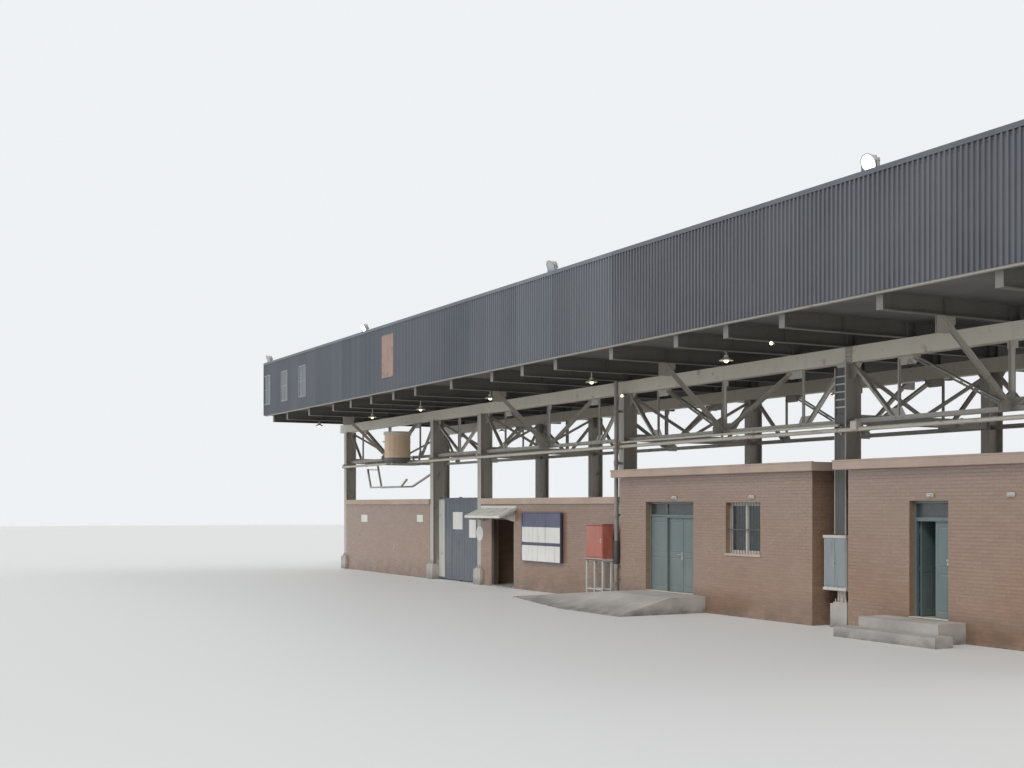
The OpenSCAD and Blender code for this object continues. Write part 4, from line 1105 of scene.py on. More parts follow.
def angle_pair(start, end, width, reach, gap=GUSSET_T, edge=1, cuts=()):
    """Twin angles between two points in X and Z. width is the leg against the gusset, reach the leg
    that stands out, and edge tells along which side it stands."""
    run = Vector((end[0] - start[0], 0, end[1] - start[1]))
    bar = begun(
        bpy.ops.mesh.primitive_cube_add, (run.length, ANGLE_T, width), size=1.0,
        location=(run.length / 2, -(gap + ANGLE_T) / 2, 0))
    fold = edge * (width / 2 - ANGLE_T)
    cut([((0, 0, fold), (0, 0, 1))], drop=False)
    select_faces(bar, lambda face: face.normal.y < -0.9 and edge * (face.center.z - fold) > 0)
    bpy.ops.mesh.extrude_region_move(TRANSFORM_OT_translate={"value": (0, ANGLE_T - reach, 0)})
    leave_edit()
    apply_modifier(bar, "BEVEL", width=FINE_EDGE, segments=1)
    apply_modifier(bar, "MIRROR", use_axis=(False, True, False))
    bar.rotation_euler = (0, -math.atan2(run.z, run.x), 0)
    bar.location = (start[0], 0, start[1])
    apply_place()
    cut(cuts)
    # The members take grey_steel, the chords' paint darkened as painted shade.
    return settle("grey_steel")


def plate(low, high, cuts=(), paint="grey_steel"):
    """A plate whose corners are cut off by planes."""
    return block(low, high, paint, edge=FINE_EDGE, cuts=cuts)


def gusset(low, high, cuts=()):
    """A plate in the truss's plane, between two corners in X and Z."""
    return plate((low[0], -GUSSET_HALF, low[1]), (high[0], GUSSET_HALF, high[1]), cuts)


def through_bolts(points, half):
    """Bolts along Y through a joint that is half thick to each side: nut, head, washers and shank."""
    x, z = points[0]
    parts = [
        rod((x, -half - 0.014, z), (x, half + 0.014, z), 0.017, "grey_steel", sides=6, edge=0.1),
        rod((x, -half - 0.003, z), (x, half + 0.003, z), 0.021, "grey_steel", sides=12, edge=0.02),
        rod((x, -half + 0.002, z), (x, half + 0.024, z), 0.01, "grey_steel", sides=8, edge=0.1)]
    return repeated("bolts", joined("bolt", parts), [(px - x, 0, pz - z) for px, pz in points[1:]])


def along(start, end, distances):
    """Points at distances along the line from start towards end."""
    run = Vector((end[0] - start[0], end[1] - start[1])).normalized()
    return [(start[0] + run.x * d, start[1] + run.y * d) for d in distances]


# %% [markdown]
# One long bay is drawn as its left half: end diagonal, thin post, main diagonal and their gussets,
# with a bolt wherever a member crosses a plate. The main diagonal is two slender pairs with a slot
# between them, tied by packing plates. The half is mirrored about the mid post, and the post and the
# bottom chord are added. The bay is repeated along the run, and the whole row goes to the rear too.

# %% Trusses
BENTS = (-18.75, -10.3, -6.6, 1.85, 10.3, 18.75)
LONG_STARTS = [BENTS[number] for number in (0, 2, 3, 4)]
LONG_BAY, SHORT_BAY = 8.45, 3.7
ROW_Y = 2.1
CHORD_Z, LOW_Z = 5.52, 4.3
JOINT_HALF = GUSSET_HALF + ANGLE_T
CHORD_LEG, POST_LEG, DIAGONAL_LEG, OUT_LEG = 0.1, 0.11, 0.09, 0.05
THIN_X, MAIN_LEG, MAIN_OFFSET = 1.42, 0.026, 0.0245
WEB_HALF = 0.007
COLUMN_FACE = ((WEB_HALF, 0, 0), (-1, 0, 0))
UNDER_CHORD = ((0, 0, CHORD_Z), (0, 0, 1))
UNDER_CLEAT = ((0, 0, CHORD_Z - 0.054), (0, 0, 1))
OVER_FOOT = ((0, 0, LOW_Z + 0.054), (0, 0, -1))


def beside(start, end, offset):
    """The line from start to end moved sideways in the truss's plane."""
    run = Vector((end[0] - start[0], end[1] - start[1])).normalized() * offset
    return (start[0] - run.y, start[1] + run.x), (end[0] - run.y, end[1] + run.x)


def under_member(foot, head, half_width):
    """The plane along the lower edge of a raking member, where its gusset stops."""
    run = Vector((head[0] - foot[0], 0, head[1] - foot[1])).normalized()
    down = Vector((run.z, 0, -run.x))
    if down.z > 0:
        down.negate()
    return Vector((foot[0], 0, foot[1])) + down * half_width, down


def before_post(length):
    """The plane that a diagonal stops at, short of the post in the middle of a bay."""
    return (length / 2 - 0.06, 0, 0), (1, 0, 0)


def foot_plate(low_x, high_x, cuts):
    """Gusset on the bottom chord, cut back to planes."""
    return gusset((low_x, LOW_Z - 0.03), (high_x, LOW_Z + 0.2), cuts)


def whole_bay(length, half_parts, head, half_width, head_bolts):
    """Half a bay mirrored, with its bottom chord, mid post, and the gusset and bolts of the post. The
    gusset stops under the raking members, which start at head and are half_width thick each way."""
    middle = length / 2
    heads_of_both = (head, (length - head[0], head[1]))
    foot_cuts = [under_member((middle, LOW_Z), end, half_width) for end in heads_of_both]
    half = joined("half_web", half_parts)
    bolts = [(middle, 4.39), (middle, 4.46), (middle - 0.08, LOW_Z), (middle + 0.08, LOW_Z)]
    return joined("bay", [
        repeated("bay_web", half, [Matrix.Translation((length, 0, 0)) @ MIRROR_X]),
        angle_pair((WEB_HALF, LOW_Z), (length - WEB_HALF, LOW_Z), CHORD_LEG, OUT_LEG, edge=-1),
        angle_pair((middle, LOW_Z), (middle, CHORD_Z), POST_LEG, OUT_LEG, cuts=[UNDER_CHORD, OVER_FOOT]),
        foot_plate(middle - 0.32, middle + 0.32, foot_cuts),
        through_bolts(bolts + [(middle, z) for z in head_bolts], JOINT_HALF)])


end_head, end_foot = (0.0, 5.62), (1.29, LOW_Z)
main_head, main_foot = (1.83, 5.474), (LONG_BAY / 2, LOW_Z)
main_lines = {side: beside(main_head, main_foot, side * MAIN_OFFSET) for side in (-1, 1)}
half_bolts = along(end_foot, end_head, (0.13, 0.19, 0.25)) + along(end_head, end_foot, (0.22, 0.3, 0.38))
for head, foot in main_lines.values():
    half_bolts += along(head, foot, (0.04, 0.1)) + along(foot, head, (0.24, 0.31))
half_bolts += [(1.34, LOW_Z), (1.52, LOW_Z), (THIN_X, 4.39), (THIN_X, 4.45), (THIN_X, 5.4)]
half_bolts += [(x, 5.49) for x in (1.46, 1.58, 1.7, 1.82, 1.94)]
half_bay = [
    angle_pair(end_head, end_foot, DIAGONAL_LEG, OUT_LEG, cuts=[UNDER_CHORD, OVER_FOOT, COLUMN_FACE]),
    angle_pair((THIN_X, LOW_Z), (THIN_X, CHORD_Z), 0.05, 0.03, edge=-1, cuts=[UNDER_CLEAT, OVER_FOOT]),
    foot_plate(1.0, 1.59, [
        under_member(end_foot, end_head, DIAGONAL_LEG / 2), ((1.59, 0, LOW_Z + 0.06), (0.86, 0, 0.5))]),
    gusset((1.395, 5.34), (2.0, CHORD_Z), [((1.88, 0, 5.34), (0.72, 0, -0.69))]),
    gusset((WEB_HALF, 5.2), (0.4, CHORD_Z), [((0.16, 0, 5.2), (0.8, 0, -0.6))]),
    angle_pair((1.4, 5.495), (1.99, 5.495), 0.05, 0.05),
    through_bolts(half_bolts, JOINT_HALF)]
for side, (head, foot) in main_lines.items():
    half_bay.append(angle_pair(
        head, foot, MAIN_LEG, 0.048, edge=side, cuts=[UNDER_CLEAT, OVER_FOOT, before_post(LONG_BAY)]))
for share in (0.3, 0.5, 0.7):
    x, z = along(main_head, main_foot, [share * math.dist(main_head, main_foot)])[0]
    half_bay.append(gusset((x - 0.03, z - 0.03), (x + 0.03, z + 0.03)))
mid_head_plate = gusset((LONG_BAY / 2 - 0.12, 5.38), (LONG_BAY / 2 + 0.12, CHORD_Z))
bay = whole_bay(LONG_BAY, half_bay, main_head, MAIN_OFFSET + MAIN_LEG / 2, (5.42, 5.48))
bay = put(joined("long_bay", [bay, mid_head_plate]), Matrix.Translation((BENTS[0], -ROW_Y, 0)))
long_webs = repeated("long_webs", bay, steps(LONG_STARTS))

short_head, short_foot = (0.0, 5.43), (SHORT_BAY / 2, LOW_Z)
short_bolts = along(short_head, short_foot, (0.1, 0.18, 0.26)) + along(short_foot, short_head, (0.19, 0.26))
short_half = [
    angle_pair(short_head, short_foot, DIAGONAL_LEG, OUT_LEG,
               cuts=[UNDER_CHORD, OVER_FOOT, COLUMN_FACE, before_post(SHORT_BAY)]),
    gusset((WEB_HALF, 5.18), (0.3, 5.5), [((0.12, 0, 5.18), (0.8, 0, -0.6))]),
    through_bolts(short_bolts, JOINT_HALF)]
short_web = whole_bay(SHORT_BAY, short_half, short_head, DIAGONAL_LEG / 2, (5.46,))
put(short_web, Matrix.Translation((BENTS[1], -ROW_Y, 0)))
trusses = on_both_sides("trusses_dressed", joined("front_truss", [long_webs, short_web]))
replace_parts(trusses, "trusses")
print("trusses", len(trusses.data.polygons), "faces")

# %% [markdown]
# Knee braces rake from the foot of each mid post out to the cross beam, and carry the gallery's
# overhang. They are drawn as truss members too, and their matrix turns that plane across the run.

# %% Knee braces
KNEE_FOOT = ROW_Y + 0.055
KNEE_GAP, KNEE_LEG, KNEE_OUT = 0.048, 0.09, 0.03
ACROSS = Matrix(((0, 1, 0, 0), (-1, 0, 0, 0), (0, 0, 1, 0), (0, 0, 0, 1)))
knee_low, knee_high = (0.0, 4.31), (1.742, CHORD_TOP)
knee_cuts = [((0, 0, CHORD_TOP), (0, 0, 1)), ((0, 0, 0), (-1, 0, 0))]
before, beyond = along(knee_low, knee_high, (-0.1,))[0], along(knee_high, knee_low, (-0.15,))[0]
knee_parts = [angle_pair(before, beyond, KNEE_LEG, KNEE_OUT, gap=KNEE_GAP, cuts=knee_cuts)]
for side in (-1, 1):
    near, far = side * 0.016, side * KNEE_GAP / 2
    knee_parts.append(plate((0.0, near, 4.24), (0.3, far, 4.62), [((0.3, 0, 4.4), (0.6, 0, 0.8))]))
    knee_parts.append(plate(
        (1.4, near, 5.55), (1.84, far, CHORD_TOP), [((1.4, 0, 5.72), (-0.75, 0, -0.66))]))
knee_bolts = along(knee_low, knee_high, (0.08, 0.16, 0.24)) + along(knee_high, knee_low, (0.1, 0.18, 0.26))
knee_parts.append(through_bolts(knee_bolts, KNEE_GAP / 2 + ANGLE_T))
knee = joined("knee", knee_parts)
put(knee, Matrix.Translation((BENTS[0] + LONG_BAY / 2, -KNEE_FOOT, 0)) @ ACROSS)
knees = on_both_sides("knee_braces_dressed", repeated("knee_row", knee, steps(LONG_STARTS)))
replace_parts(knees, "knee_braces")
print("knee braces", len(knees.data.polygons), "faces")

# %% [markdown]
# Columns stand on base plates with stiffeners and four anchor bolts. The cross beams have web
# stiffeners where the chords and the knees push, and an end plate. The solids give the sections
# themselves, so only these fittings are added.

# %% Column feet, beam stiffeners and the splice
BASE_TOP = 0.53
RIB_HALF, WEB_RIB_REACH, FLANGE_RIB_OUT = 0.006, 0.19, 0.256
BEAM_TOP, FLANGE_T, BEAM_HALF = CHORD_TOP + 0.33, 0.018, 0.08
BEAM_OFFSETS = (0.0, 1.6975, LONG_BAY / 2, LONG_BAY - 1.6975)
BEAMS = [start + offset for start in LONG_STARTS for offset in BEAM_OFFSETS]
BEAMS += [BENTS[1], BENTS[1] + SHORT_BAY / 2, BENTS[5]]
foot_parts, rib_parts = [], []
for side in (-1, 1):
    foot_parts.append(plate(
        (side * RIB_HALF, -RIB_HALF, BASE_TOP), (side * WEB_RIB_REACH, RIB_HALF, BASE_TOP + 0.24),
        [((side * WEB_RIB_REACH, 0, BASE_TOP + 0.04), (side * 0.78, 0, 0.62))]))
    for end in (-1, 1):
        x, out = side * 0.06, end * FLANGE_RIB_OUT
        foot_parts.append(plate(
            (x - RIB_HALF, end * 0.21, BASE_TOP), (x + RIB_HALF, out, BASE_TOP + 0.16),
            [((0, out, BASE_TOP + 0.03), (0, end * 0.94, 0.34))]))
        x, y = side * 0.155, end * 0.232
        for low_z, high_z, radius, sides, edge in (
                (0.0, 0.07, 0.012, 10, 0.15), (0.004, 0.024, 0.021, 6, 0.1), (0.0, 0.005, 0.027, 14, 0.02)):
            foot_parts.append(rod(
                (x, y, BASE_TOP + low_z), (x, y, BASE_TOP + high_z), radius, "grey_steel",
                sides=sides, edge=edge))
    # The stiffeners take the dark grey, painted shade for their place under the gallery floor.
    for y in (-2.22, -1.98, -3.84):
        rib_parts.append(plate(
            (side * 0.006, y - 0.005, CHORD_TOP + FLANGE_T), (side * 0.074, y + 0.005, BEAM_TOP - FLANGE_T),
            [((side * 0.02, 0, CHORD_TOP + FLANGE_T), (-side * 0.7, 0, -0.7))], "painted_shade_grey"))
column_foot = put(joined("column_foot", foot_parts), Matrix.Translation((BENTS[0], -ROW_Y, 0)))
on_both_sides("column_feet", repeated("foot_row", column_foot, steps(BENTS)))
# The end plate takes the dark grey too, as painted shade.
rib_parts.append(plate((-BEAM_HALF, -5.31, CHORD_TOP), (BEAM_HALF, -5.3, BEAM_TOP), paint="painted_shade_grey"))
beam_ribs = put(joined("beam_ribs", rib_parts), Matrix.Translation((BEAMS[0], 0, 0)))
on_both_sides("beam_fittings", repeated("rib_row", beam_ribs, steps(BEAMS)))
splice_points = [(x, z) for x in (10.36, 10.42, 10.48) for z in (5.56, 5.64, 5.73, 5.81)]
named("splice_bolts", put(through_bolts(splice_points, 0.009), Matrix.Translation((0, -2.234, 0))))
print(2 * len(BENTS), "column feet,", len(BEAMS), "beams")

# %% [markdown]
# Many of the fittings are held by bolts or screws whose heads show. One head is made as a rod and
# copied to a list of places. A ring, such as a flange or a band round a pipe, is turned: a circle
# without faces is extruded and scaled along a closed outline, and its last ring is merged with its
# first.

# %% Helpers for fittings


def heads(name, points, radius=0.009, height=0.005, paint="galvanised"):
    """Round heads on faces that look to -Y; each point lies on its face."""
    start = Vector(points[0])
    head = rod(start, start + TO_FRONT * height, radius, paint, sides=12, edge=0.2)
    return repeated(name, head, [Vector(point) - start for point in points[1:]])


def turned(name, outline, centre, paint, sides=40):
    """A ring about the upright axis, from its closed outline in radius and height."""
    ring = begun(
        bpy.ops.mesh.primitive_circle_add, vertices=sides, radius=outline[0][0],
        location=(0, 0, outline[0][1]))
    enter_edit()
    bpy.ops.mesh.select_mode(type="VERT")
    bpy.ops.mesh.select_all(action="SELECT")
    for (radius, z), (next_radius, next_z) in zip(outline, outline[1:] + outline[:1]):
        grow = next_radius / radius
        bpy.ops.mesh.extrude_region_move(TRANSFORM_OT_translate={"value": (0, 0, next_z - z)})
        bpy.ops.transform.resize(value=(grow, grow, 1.0), center_override=(0, 0, 0))
    bpy.ops.mesh.select_all(action="SELECT")
    bpy.ops.mesh.remove_doubles(threshold=0.0001)
    bpy.ops.mesh.normals_make_consistent(inside=False)
    leave_edit()
    bpy.ops.object.shade_smooth_by_angle(angle=math.radians(35))
    ring.location = (centre[0], centre[1], 0)
    return named(name, settle(paint))


def corners(low, high, inset, face):
    """The four corner points of an upright plate, set in from its edges."""
    heights = (low[1] + inset, high[1] - inset)
    return [(x, face, z) for x in (low[0] + inset, high[0] - inset) for z in heights]


# %% [markdown]
# The cable ladder climbs the front of a column: two rails and folded rungs over a dark back, with a
# cover over its lower part that goes on down the column. The round housing of the dust collector
# gets its bands, its pale rim and a grey skirt over the cone, darkened as painted shade.

# %% Cable ladder and dust collector
LADDER_X, RUNG_FRONT, LADDER_BACK = 10.28, -2.34, -2.31
LADDER_LOW, COVER_TOP, LADDER_TOP = 3.465, 4.46, 5.42
RAIL_OUT, RAIL_IN, LIP_IN, SHEET_FOLD = 0.17, 0.166, 0.148, 0.004
RUNG_PITCH, RUNG_COUNT = 0.16, 5
COVER_HALF, COVER_LOW = 0.15, 1.94
rail_parts, cover_rails = [], []
for side in (-1, 1):
    outer, inner, lip = [LADDER_X + side * reach for reach in (RAIL_OUT, RAIL_IN, LIP_IN)]
    rail_parts.append(block(
        (outer, RUNG_FRONT, LADDER_LOW), (inner, LADDER_BACK, LADDER_TOP), "galvanised", edge=0.001))
    for y in (RUNG_FRONT - 0.001, LADDER_BACK - SHEET_FOLD):
        rail_parts.append(block(
            (inner, y, LADDER_LOW), (lip, y + SHEET_FOLD, LADDER_TOP), "galvanised", edge=0.001))
    x = LADDER_X + side * 0.16
    cover_rails.append(block(
        (x - 0.009, -2.342, COVER_LOW), (x + 0.009, -2.311, LADDER_LOW - 0.01), "galvanised"))
left, right = LADDER_X - RAIL_IN, LADDER_X + RAIL_IN
rung_z, rung_top = COVER_TOP + 0.12, COVER_TOP + 0.15
rung = joined("rung", [
    block((left, -2.335, rung_z), (right, -2.331, rung_top), "galvanised", edge=0.001),
    block((left, -2.331, rung_top - SHEET_FOLD), (right, -2.318, rung_top), "galvanised", edge=0.001)])
rungs = repeated("rungs", rung, [(0, 0, number * RUNG_PITCH) for number in range(1, RUNG_COUNT)])
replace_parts(joined("cable_ladder_rails", rail_parts + [rungs]), "cable_ladder")
left, right = LADDER_X - COVER_HALF, LADDER_X + COVER_HALF
cover_parts = [
    pulled_face(block((left, -2.33, low_z), (right, -2.312, high_z), "dark_steel"), 0.02, 0.004)
    for low_z, high_z in ((COVER_LOW, LADDER_LOW - 0.01), (LADDER_LOW, COVER_TOP))]
cover_parts.append(block(
    (left, -2.314, COVER_TOP), (right, -2.3105, LADDER_TOP), "dark_steel", edge=0.001))
joined("ladder_cover", cover_parts)
joined("column_cover_rails", cover_rails)

COLLECTOR = (-11.9, -2.92)
BAND_IN, BAND_OUT, BAND_HEIGHT = 0.455, 0.47, 0.045
RIM_RING = [
    (0.484, 5.06), (0.498, 5.07), (0.498, 5.165), (0.486, 5.178), (0.42, 5.178), (0.42, 5.155), (0.47, 5.06)]
SKIRT_RING = [(0.302, 4.052), (0.467, 4.186), (0.467, 4.25), (0.455, 4.25), (0.455, 4.19), (0.295, 4.06)]
turned("collector_rim", RIM_RING, COLLECTOR, "pale_steel", 48)
# The skirt takes the dark grey, painted shade for the shadow under the collector.
turned("collector_skirt", SKIRT_RING, COLLECTOR, "painted_shade_grey", 48)
lug_x, lug_y = COLLECTOR[0] - 0.16, COLLECTOR[1] - 0.46
band_parts = []
for z in (4.36, 4.8):
    top = z + BAND_HEIGHT
    band_ring = [(BAND_IN, z), (BAND_OUT, z), (BAND_OUT, top), (BAND_IN, top)]
    band_parts.append(turned("band", band_ring, COLLECTOR, "collector_cream", 48))
    for x in (lug_x - 0.03, lug_x + 0.03):
        band_parts.append(block(
            (x - 0.005, lug_y - 0.03, z), (x + 0.005, lug_y + 0.03, top), "collector_cream", edge=0.001))
    bolt_y, bolt_z = lug_y - 0.015, z + 0.022
    band_parts.append(rod(
        (lug_x - 0.06, bolt_y, bolt_z), (lug_x + 0.06, bolt_y, bolt_z), 0.007, "collector_cream", sides=8))
joined("collector_bands", band_parts)
print(RUNG_COUNT, "rungs,", len(band_parts), "band parts")

# %% [markdown]
# Pipes come in lengths, so the service pipe has a screwed union every few metres and is held to
# each column by a U-bolt, which is half a torus with two legs. The rainwater pipe has its sockets,
# and a dark guard round it at the height where carts would hit it.

# %% Pipe fittings
PIPE_Y, PIPE_Z, PIPE_R = -2.39, 4.11, 0.045
THIN_PIPE_Z, THIN_PIPE_R = 4.22, 0.03
UNION_X = (-16.2, -13.4, -8.45, -4.4, -1.6, 4.2, 6.9, 13.6, 16.4)
THIN_UNION_X = (4.7, 7.5)
BOW_R, WIRE_R = PIPE_R + 0.008, 0.007
PIPE_BOX_LOW, PIPE_BOX_HIGH = (10.726, 4.096), (10.904, 4.274)


def unions(places, z, radius):
    """Sleeves with a hexagonal nut round their middle, at places along a pipe."""
    x = places[0]
    sleeve_shape, nut_shape = (0.06, radius + 0.009, 24, 0.1), (0.018, radius + 0.021, 6, 0.06)
    union = joined("union", [
        rod((x - half, PIPE_Y, z), (x + half, PIPE_Y, z), thick, "pale_steel", sides=sides, edge=edge)
        for half, thick, sides, edge in (sleeve_shape, nut_shape)])
    return repeated("unions", union, steps(places))


fitting_parts = [unions(UNION_X, PIPE_Z, PIPE_R), unions(THIN_UNION_X, THIN_PIPE_Z, THIN_PIPE_R)]
bow = begun(
    bpy.ops.mesh.primitive_torus_add, major_segments=28, minor_segments=8, major_radius=BOW_R,
    minor_radius=WIRE_R, rotation=(0, QUARTER, 0))
cut([((0, 0, 0), (0, 1, 0))], fill=False)
bpy.ops.object.shade_smooth()
bow.location = (BENTS[0], PIPE_Y, PIPE_Z)
clip_parts = [settle("pale_steel")]
for z in (PIPE_Z - BOW_R, PIPE_Z + BOW_R):
    clip_parts.append(rod((BENTS[0], PIPE_Y, z), (BENTS[0], -2.315, z), WIRE_R, "pale_steel", sides=8))
clip_parts.append(block(
    (BENTS[0] - 0.025, -2.335, PIPE_Z - 0.09), (BENTS[0] + 0.025, -2.31, PIPE_Z + 0.09), "pale_steel"))
fitting_parts.append(repeated("pipe_clips", joined("clip", clip_parts), steps(BENTS)))
(left, low_z), (right, high_z) = PIPE_BOX_LOW, PIPE_BOX_HIGH
fitting_parts.append(pulled_face(
    block((left, -2.476, low_z), (right, -2.463, high_z), "pale_steel"), 0.012, 0.003))
fitting_parts.append(rod((10.815, -2.4, 4.28), (10.815, -2.4, 4.32), 0.022, "pale_steel", sides=6))
joined("service_pipe_fittings", fitting_parts)
heads("box_screws", corners(PIPE_BOX_LOW, PIPE_BOX_HIGH, 0.006, -2.474), radius=0.005)

DOWNPIPE, DOWNPIPE_R = (1.9, -2.5), 0.054
SOCKET_Z = (0.9, 2.27, 3.64, 5.01)
SOCKET_RING = [(DOWNPIPE_R, -0.06), (0.063, -0.06), (0.066, 0.1), (0.058, 0.11), (DOWNPIPE_R, 0.11)]
GUARD_RING = [(0.056, 1.02), (0.084, 1.02), (0.09, 1.035), (0.09, 1.6), (0.084, 1.62), (0.056, 1.62)]
joined("downpipe_sockets", [
    turned("socket", [(radius, up + z) for radius, up in SOCKET_RING], DOWNPIPE, "pipe_brown", 28)
    for z in SOCKET_Z])
turned("downpipe_guard", GUARD_RING, DOWNPIPE, "dark_steel")
print(len(UNION_X + THIN_UNION_X), "unions,", len(BENTS), "clips,", len(SOCKET_Z), "sockets")

# %% [markdown]
# The things that hang on the walls come next. The red cabinet gets its door, hood, hinges and
# latch, and its shelf a dark edge and cross bars between the legs. The board gets a raised frame,
# and the bare plates the screws that hold them.

# %% Cabinet, board and plates
HOOD_LEFT, HOOD_RIGHT, HOOD_TOP = 0.93, 1.82, 2.057
LEG_X, LEG_Y = (0.95, 1.35, 1.75), (-2.86, -2.6)
KNOB_X, KNOB_Z = 1.722, 1.61
cabinet_parts = [
    pulled_face(block((0.978, -2.872, 1.168), (1.772, -2.858, 2.012), "cabinet_red"), 0.03, 0.004),
    block((HOOD_LEFT, -2.895, HOOD_TOP - 0.014), (HOOD_RIGHT, -2.55, HOOD_TOP), "cabinet_red"),
    block((HOOD_LEFT, -2.898, 2.02), (HOOD_RIGHT, -2.891, HOOD_TOP), "cabinet_red", edge=0.002)]
for z in (1.26, 1.83):
    cabinet_parts.append(rod((0.972, -2.868, z), (0.972, -2.868, z + 0.09), 0.009, "cabinet_red"))
joined("cabinet_front", cabinet_parts)
joined("cabinet_latch", [
    block((1.7, -2.882, KNOB_Z - 0.06), (1.745, -2.872, KNOB_Z + 0.06), "galvanised"),
    rod((KNOB_X, -2.875, KNOB_Z), (KNOB_X, -2.908, KNOB_Z), 0.014, "galvanised")])
named("shelf_edge", block((0.932, -2.885, 1.082), (1.818, -2.878, 1.12), "dark_steel", edge=0.002))
stand_parts = [block((0.95, y + 0.01, 0.3), (1.8, y + 0.04, 0.34), "stand_grey") for y in LEG_Y]
stand_parts += [
    block((x - 0.02, y - 0.02, 0.0), (x + 0.07, y + 0.07, 0.01), "stand_grey", edge=0.002)
    for x in LEG_X for y in LEG_Y]
joined("stand_fittings", stand_parts)

BOARD_LOW, BOARD_HIGH = (-3.52, 0.884), (-1.18, 2.352)
BOARD_FRONT, BOARD_BACK, BOARD_EDGE = -2.43, -2.406, 0.028
board_parts = frame_bars(
    BOARD_LOW, BOARD_HIGH, BOARD_FRONT, BOARD_BACK, BOARD_EDGE, "board_navy", 0.005, foot=0.7 * BOARD_EDGE)
board_parts.append(block(
    (BOARD_LOW[0] + BOARD_EDGE, BOARD_FRONT, 1.4), (BOARD_HIGH[0] - BOARD_EDGE, BOARD_BACK, 1.424),
    "board_navy", edge=0.005))
joined("board_frame", board_parts)
SCREEN_PLATE, ROOM_PLATE, FIELD = -2.132, -2.322, -2.422
PLATES = (
    ((-8.95, 1.75), (-8.21, 2.33), SCREEN_PLATE), ((-7.7, 1.49), (-7.2, 2.08), SCREEN_PLATE),
    ((-16.94, 1.91), (-16.3, 2.19), ROOM_PLATE), ((-11.54, 1.97), (-11.02, 2.22), ROOM_PLATE),
    ((-3.49, 0.904), (-1.21, 1.364), FIELD), ((-3.49, 1.46), (-1.21, 1.91), FIELD))
plate_points = [point for low, high, face in PLATES for point in corners(low, high, 0.035, face)]
plate_points += [(-6.545, ROOM_PLATE, z) for z in (1.48, 1.82)]
heads("plate_screws", plate_points)
print(len(board_parts), "board edges,", len(plate_points), "screws")

# %% [markdown]
# The sheet screen is stiffened by shallow upright ribs between two rails, and has a pale panel at
# its far end. The canopy is a folded tray: standing seams run down its slope and its edges are
# turned down. The box on the column has two doors between pale rims.

# %% Screen, canopy and column box
SCREEN_LEFT, SCREEN_RIGHT, SCREEN_FACE = -10.05, -6.85, -2.12
SCREEN_FOOT, SCREEN_TOP = 0.1, 2.76
FIRST_RIB, SCREEN_RIB_PITCH = -9.5, 0.2
screen_rib = block(
    (FIRST_RIB, SCREEN_FACE - 0.007, SCREEN_FOOT), (FIRST_RIB + 0.04, SCREEN_FACE + 0.004, SCREEN_TOP),
    "screen_blue", edge=0.006)
rib_count = int((SCREEN_RIGHT - 0.08 - FIRST_RIB) / SCREEN_RIB_PITCH)
screen_parts = [repeated(
    "screen_ribs", screen_rib, [(number * SCREEN_RIB_PITCH, 0, 0) for number in range(1, rib_count)])]
for z in (0.05, 2.77):
    screen_parts.append(block(
        (SCREEN_LEFT, SCREEN_FACE - 0.012, z), (SCREEN_RIGHT, SCREEN_FACE + 0.06, z + 0.045), "screen_blue"))
joined("screen_stiffeners", screen_parts)
named("screen_end_panel", pulled_face(
    block((SCREEN_LEFT, -2.142, SCREEN_FOOT), (-9.6, SCREEN_FACE, SCREEN_TOP), "stand_grey"), 0.02, -0.006))

CANOPY_LEFT, CANOPY_RIGHT = -6.42, -4.03
CANOPY_TOP, CANOPY_FRONT = Vector((0, -2.31, 2.475)), Vector((0, -2.91, 2.225))
SEAMS, SEAM_HALF, SIDE_SHEET = 5, 0.012, 0.006
canopy_run = CANOPY_FRONT - CANOPY_TOP
reach = canopy_run.length
lean = Matrix.Translation(CANOPY_TOP) @ Matrix.Rotation(math.atan2(-canopy_run.z, -canopy_run.y), 4, "X")
canopy_parts = []
for number in range(SEAMS):
    x = CANOPY_LEFT + 0.015 + number * (CANOPY_RIGHT - CANOPY_LEFT - 0.03) / (SEAMS - 1)
    canopy_parts.append(put(block(
        (x - SEAM_HALF, -reach, -0.003), (x + SEAM_HALF, 0, 0.018), "canopy_white", edge=0.004), lean))
for x in (CANOPY_LEFT - SIDE_SHEET, CANOPY_RIGHT):
    canopy_parts.append(put(block(
        (x, -reach - SIDE_SHEET, -0.06), (x + SIDE_SHEET, 0, 0.008), "canopy_white", edge=0.001), lean))
canopy_parts.append(block(
    (CANOPY_LEFT - SIDE_SHEET, -2.922, 2.16), (CANOPY_RIGHT + SIDE_SHEET, -2.908, 2.232), "canopy_white"))
canopy_parts.append(block(
    (CANOPY_LEFT - 0.02, -2.33, 2.47), (CANOPY_RIGHT + 0.02, -2.309, 2.54), "canopy_white"))
joined("canopy_edges", canopy_parts)

LATCH_Z = 1.35
joined("column_box_rims", [
    block((9.884, -2.457, low_z), (10.586, -2.31, high_z), "stand_grey", edge=0.005)
    for low_z, high_z in ((0.776, 0.835), (1.866, 1.93))])
for number, (left, right) in enumerate(((9.925, 10.232), (10.238, 10.545))):
    box_door = block((left, -2.443, 0.86), (right, -2.428, 1.84), "panel_blue")
    named(f"column_box_door_{number}", pulled_face(box_door, 0.025, 0.004))
joined("column_box_latch", [
    block((10.205, -2.455, LATCH_Z - 0.06), (10.228, -2.446, LATCH_Z + 0.06), "galvanised"),
    rod((10.216, -2.45, LATCH_Z), (10.216, -2.478, LATCH_Z), 0.011, "galvanised")])
print(rib_count, "screen ribs,", len(canopy_parts), "canopy parts")

# %% [markdown]
# The last fittings are small: drip edges along the roof slabs, boxes over the lamps that hang from
# a beam, two little bulbs, and the rivets round the rusty patch.

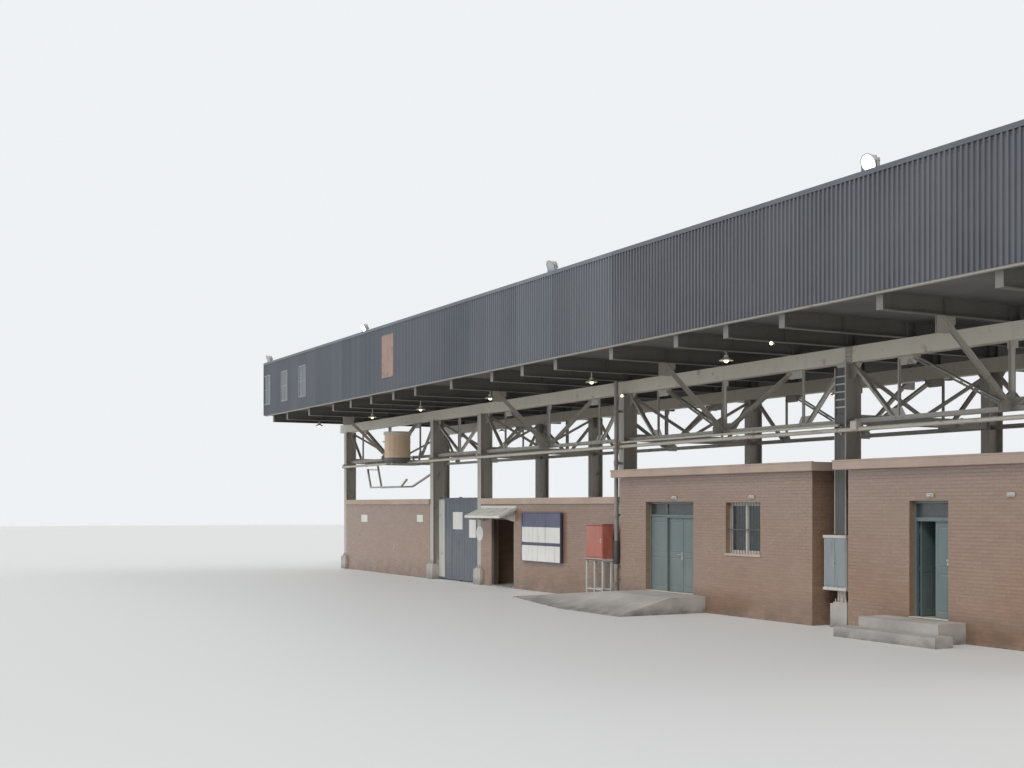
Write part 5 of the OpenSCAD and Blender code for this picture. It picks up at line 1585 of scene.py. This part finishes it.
# %% Drip edges, bulbs and rivets
SLAB_RUNS = ((2.09, 9.93), (10.56, 18.55))
SLAB_REACH, DRIP_SHORT = 0.012, 0.04
drip_parts = []
for left, right in SLAB_RUNS:
    drip_parts.append(block(
        (left - SLAB_REACH, -2.812, 3.44), (right + SLAB_REACH, -2.74, 3.477), "slab_pink", edge=0.006))
    drip_parts.append(block(
        (left + DRIP_SHORT, -2.785, 3.273), (right - DRIP_SHORT, -2.76, 3.287), "slab_pink", edge=0.004))
joined("slab_edges", drip_parts)

LAMP_BOX_LOW, LAMP_BOX_HIGH = CHORD_TOP - 0.033, CHORD_TOP + 0.007
# The lamp boxes take the dark grey, painted shade for their place under the beams.
lamp_boxes = [
    rod((x, LAMP_Y, LAMP_BOX_LOW), (x, LAMP_Y, LAMP_BOX_HIGH), 0.045, "painted_shade_grey") for x in UNDER_BEAM]
on_both_sides("lamp_boxes", joined("front_lamp_boxes", lamp_boxes))

BULBS = ((1.99, -2.31, 5.45), (10.3, -4.1, 5.82))
bulb_holders, bulb_globes = [], []
for x, y, z in BULBS:
    bulb_holders.append(rod((x, y, z), (x, y - 0.05, z), 0.024, "lamp_cream"))
    begun(bpy.ops.mesh.primitive_uv_sphere_add, segments=20, ring_count=12, radius=0.036,
          location=(x, y - 0.07, z))
    cut([((x, y - 0.045, z), (0, 1, 0))])
    bpy.ops.object.shade_smooth_by_angle(angle=math.radians(50))
    bulb_globes.append(settle("warm_glow"))
joined("bulb_holders", bulb_holders)
joined("bulb_globes", bulb_globes)

PATCH_LOW, PATCH_HIGH, PATCH_FACE = (-7.22, 6.56), (-6.26, 7.9), -5.446
RIVET_IN = 0.03
low_z, high_z = PATCH_LOW[1] + RIVET_IN, PATCH_HIGH[1] - RIVET_IN
rivet_points = [
    (x, PATCH_FACE, low_z + number * 0.16)
    for x in (PATCH_LOW[0] + RIVET_IN, PATCH_HIGH[0] - RIVET_IN) for number in range(9)]
rivet_points += [
    (PATCH_LOW[0] + 0.18 + number * 0.15, PATCH_FACE, z) for z in (low_z, high_z) for number in range(5)]
heads("patch_rivets", rivet_points, radius=0.008, height=0.004, paint="rusty_sheet")
print(len(lamp_boxes), "lamp boxes,", len(BULBS), "bulbs,", len(rivet_points), "rivets")
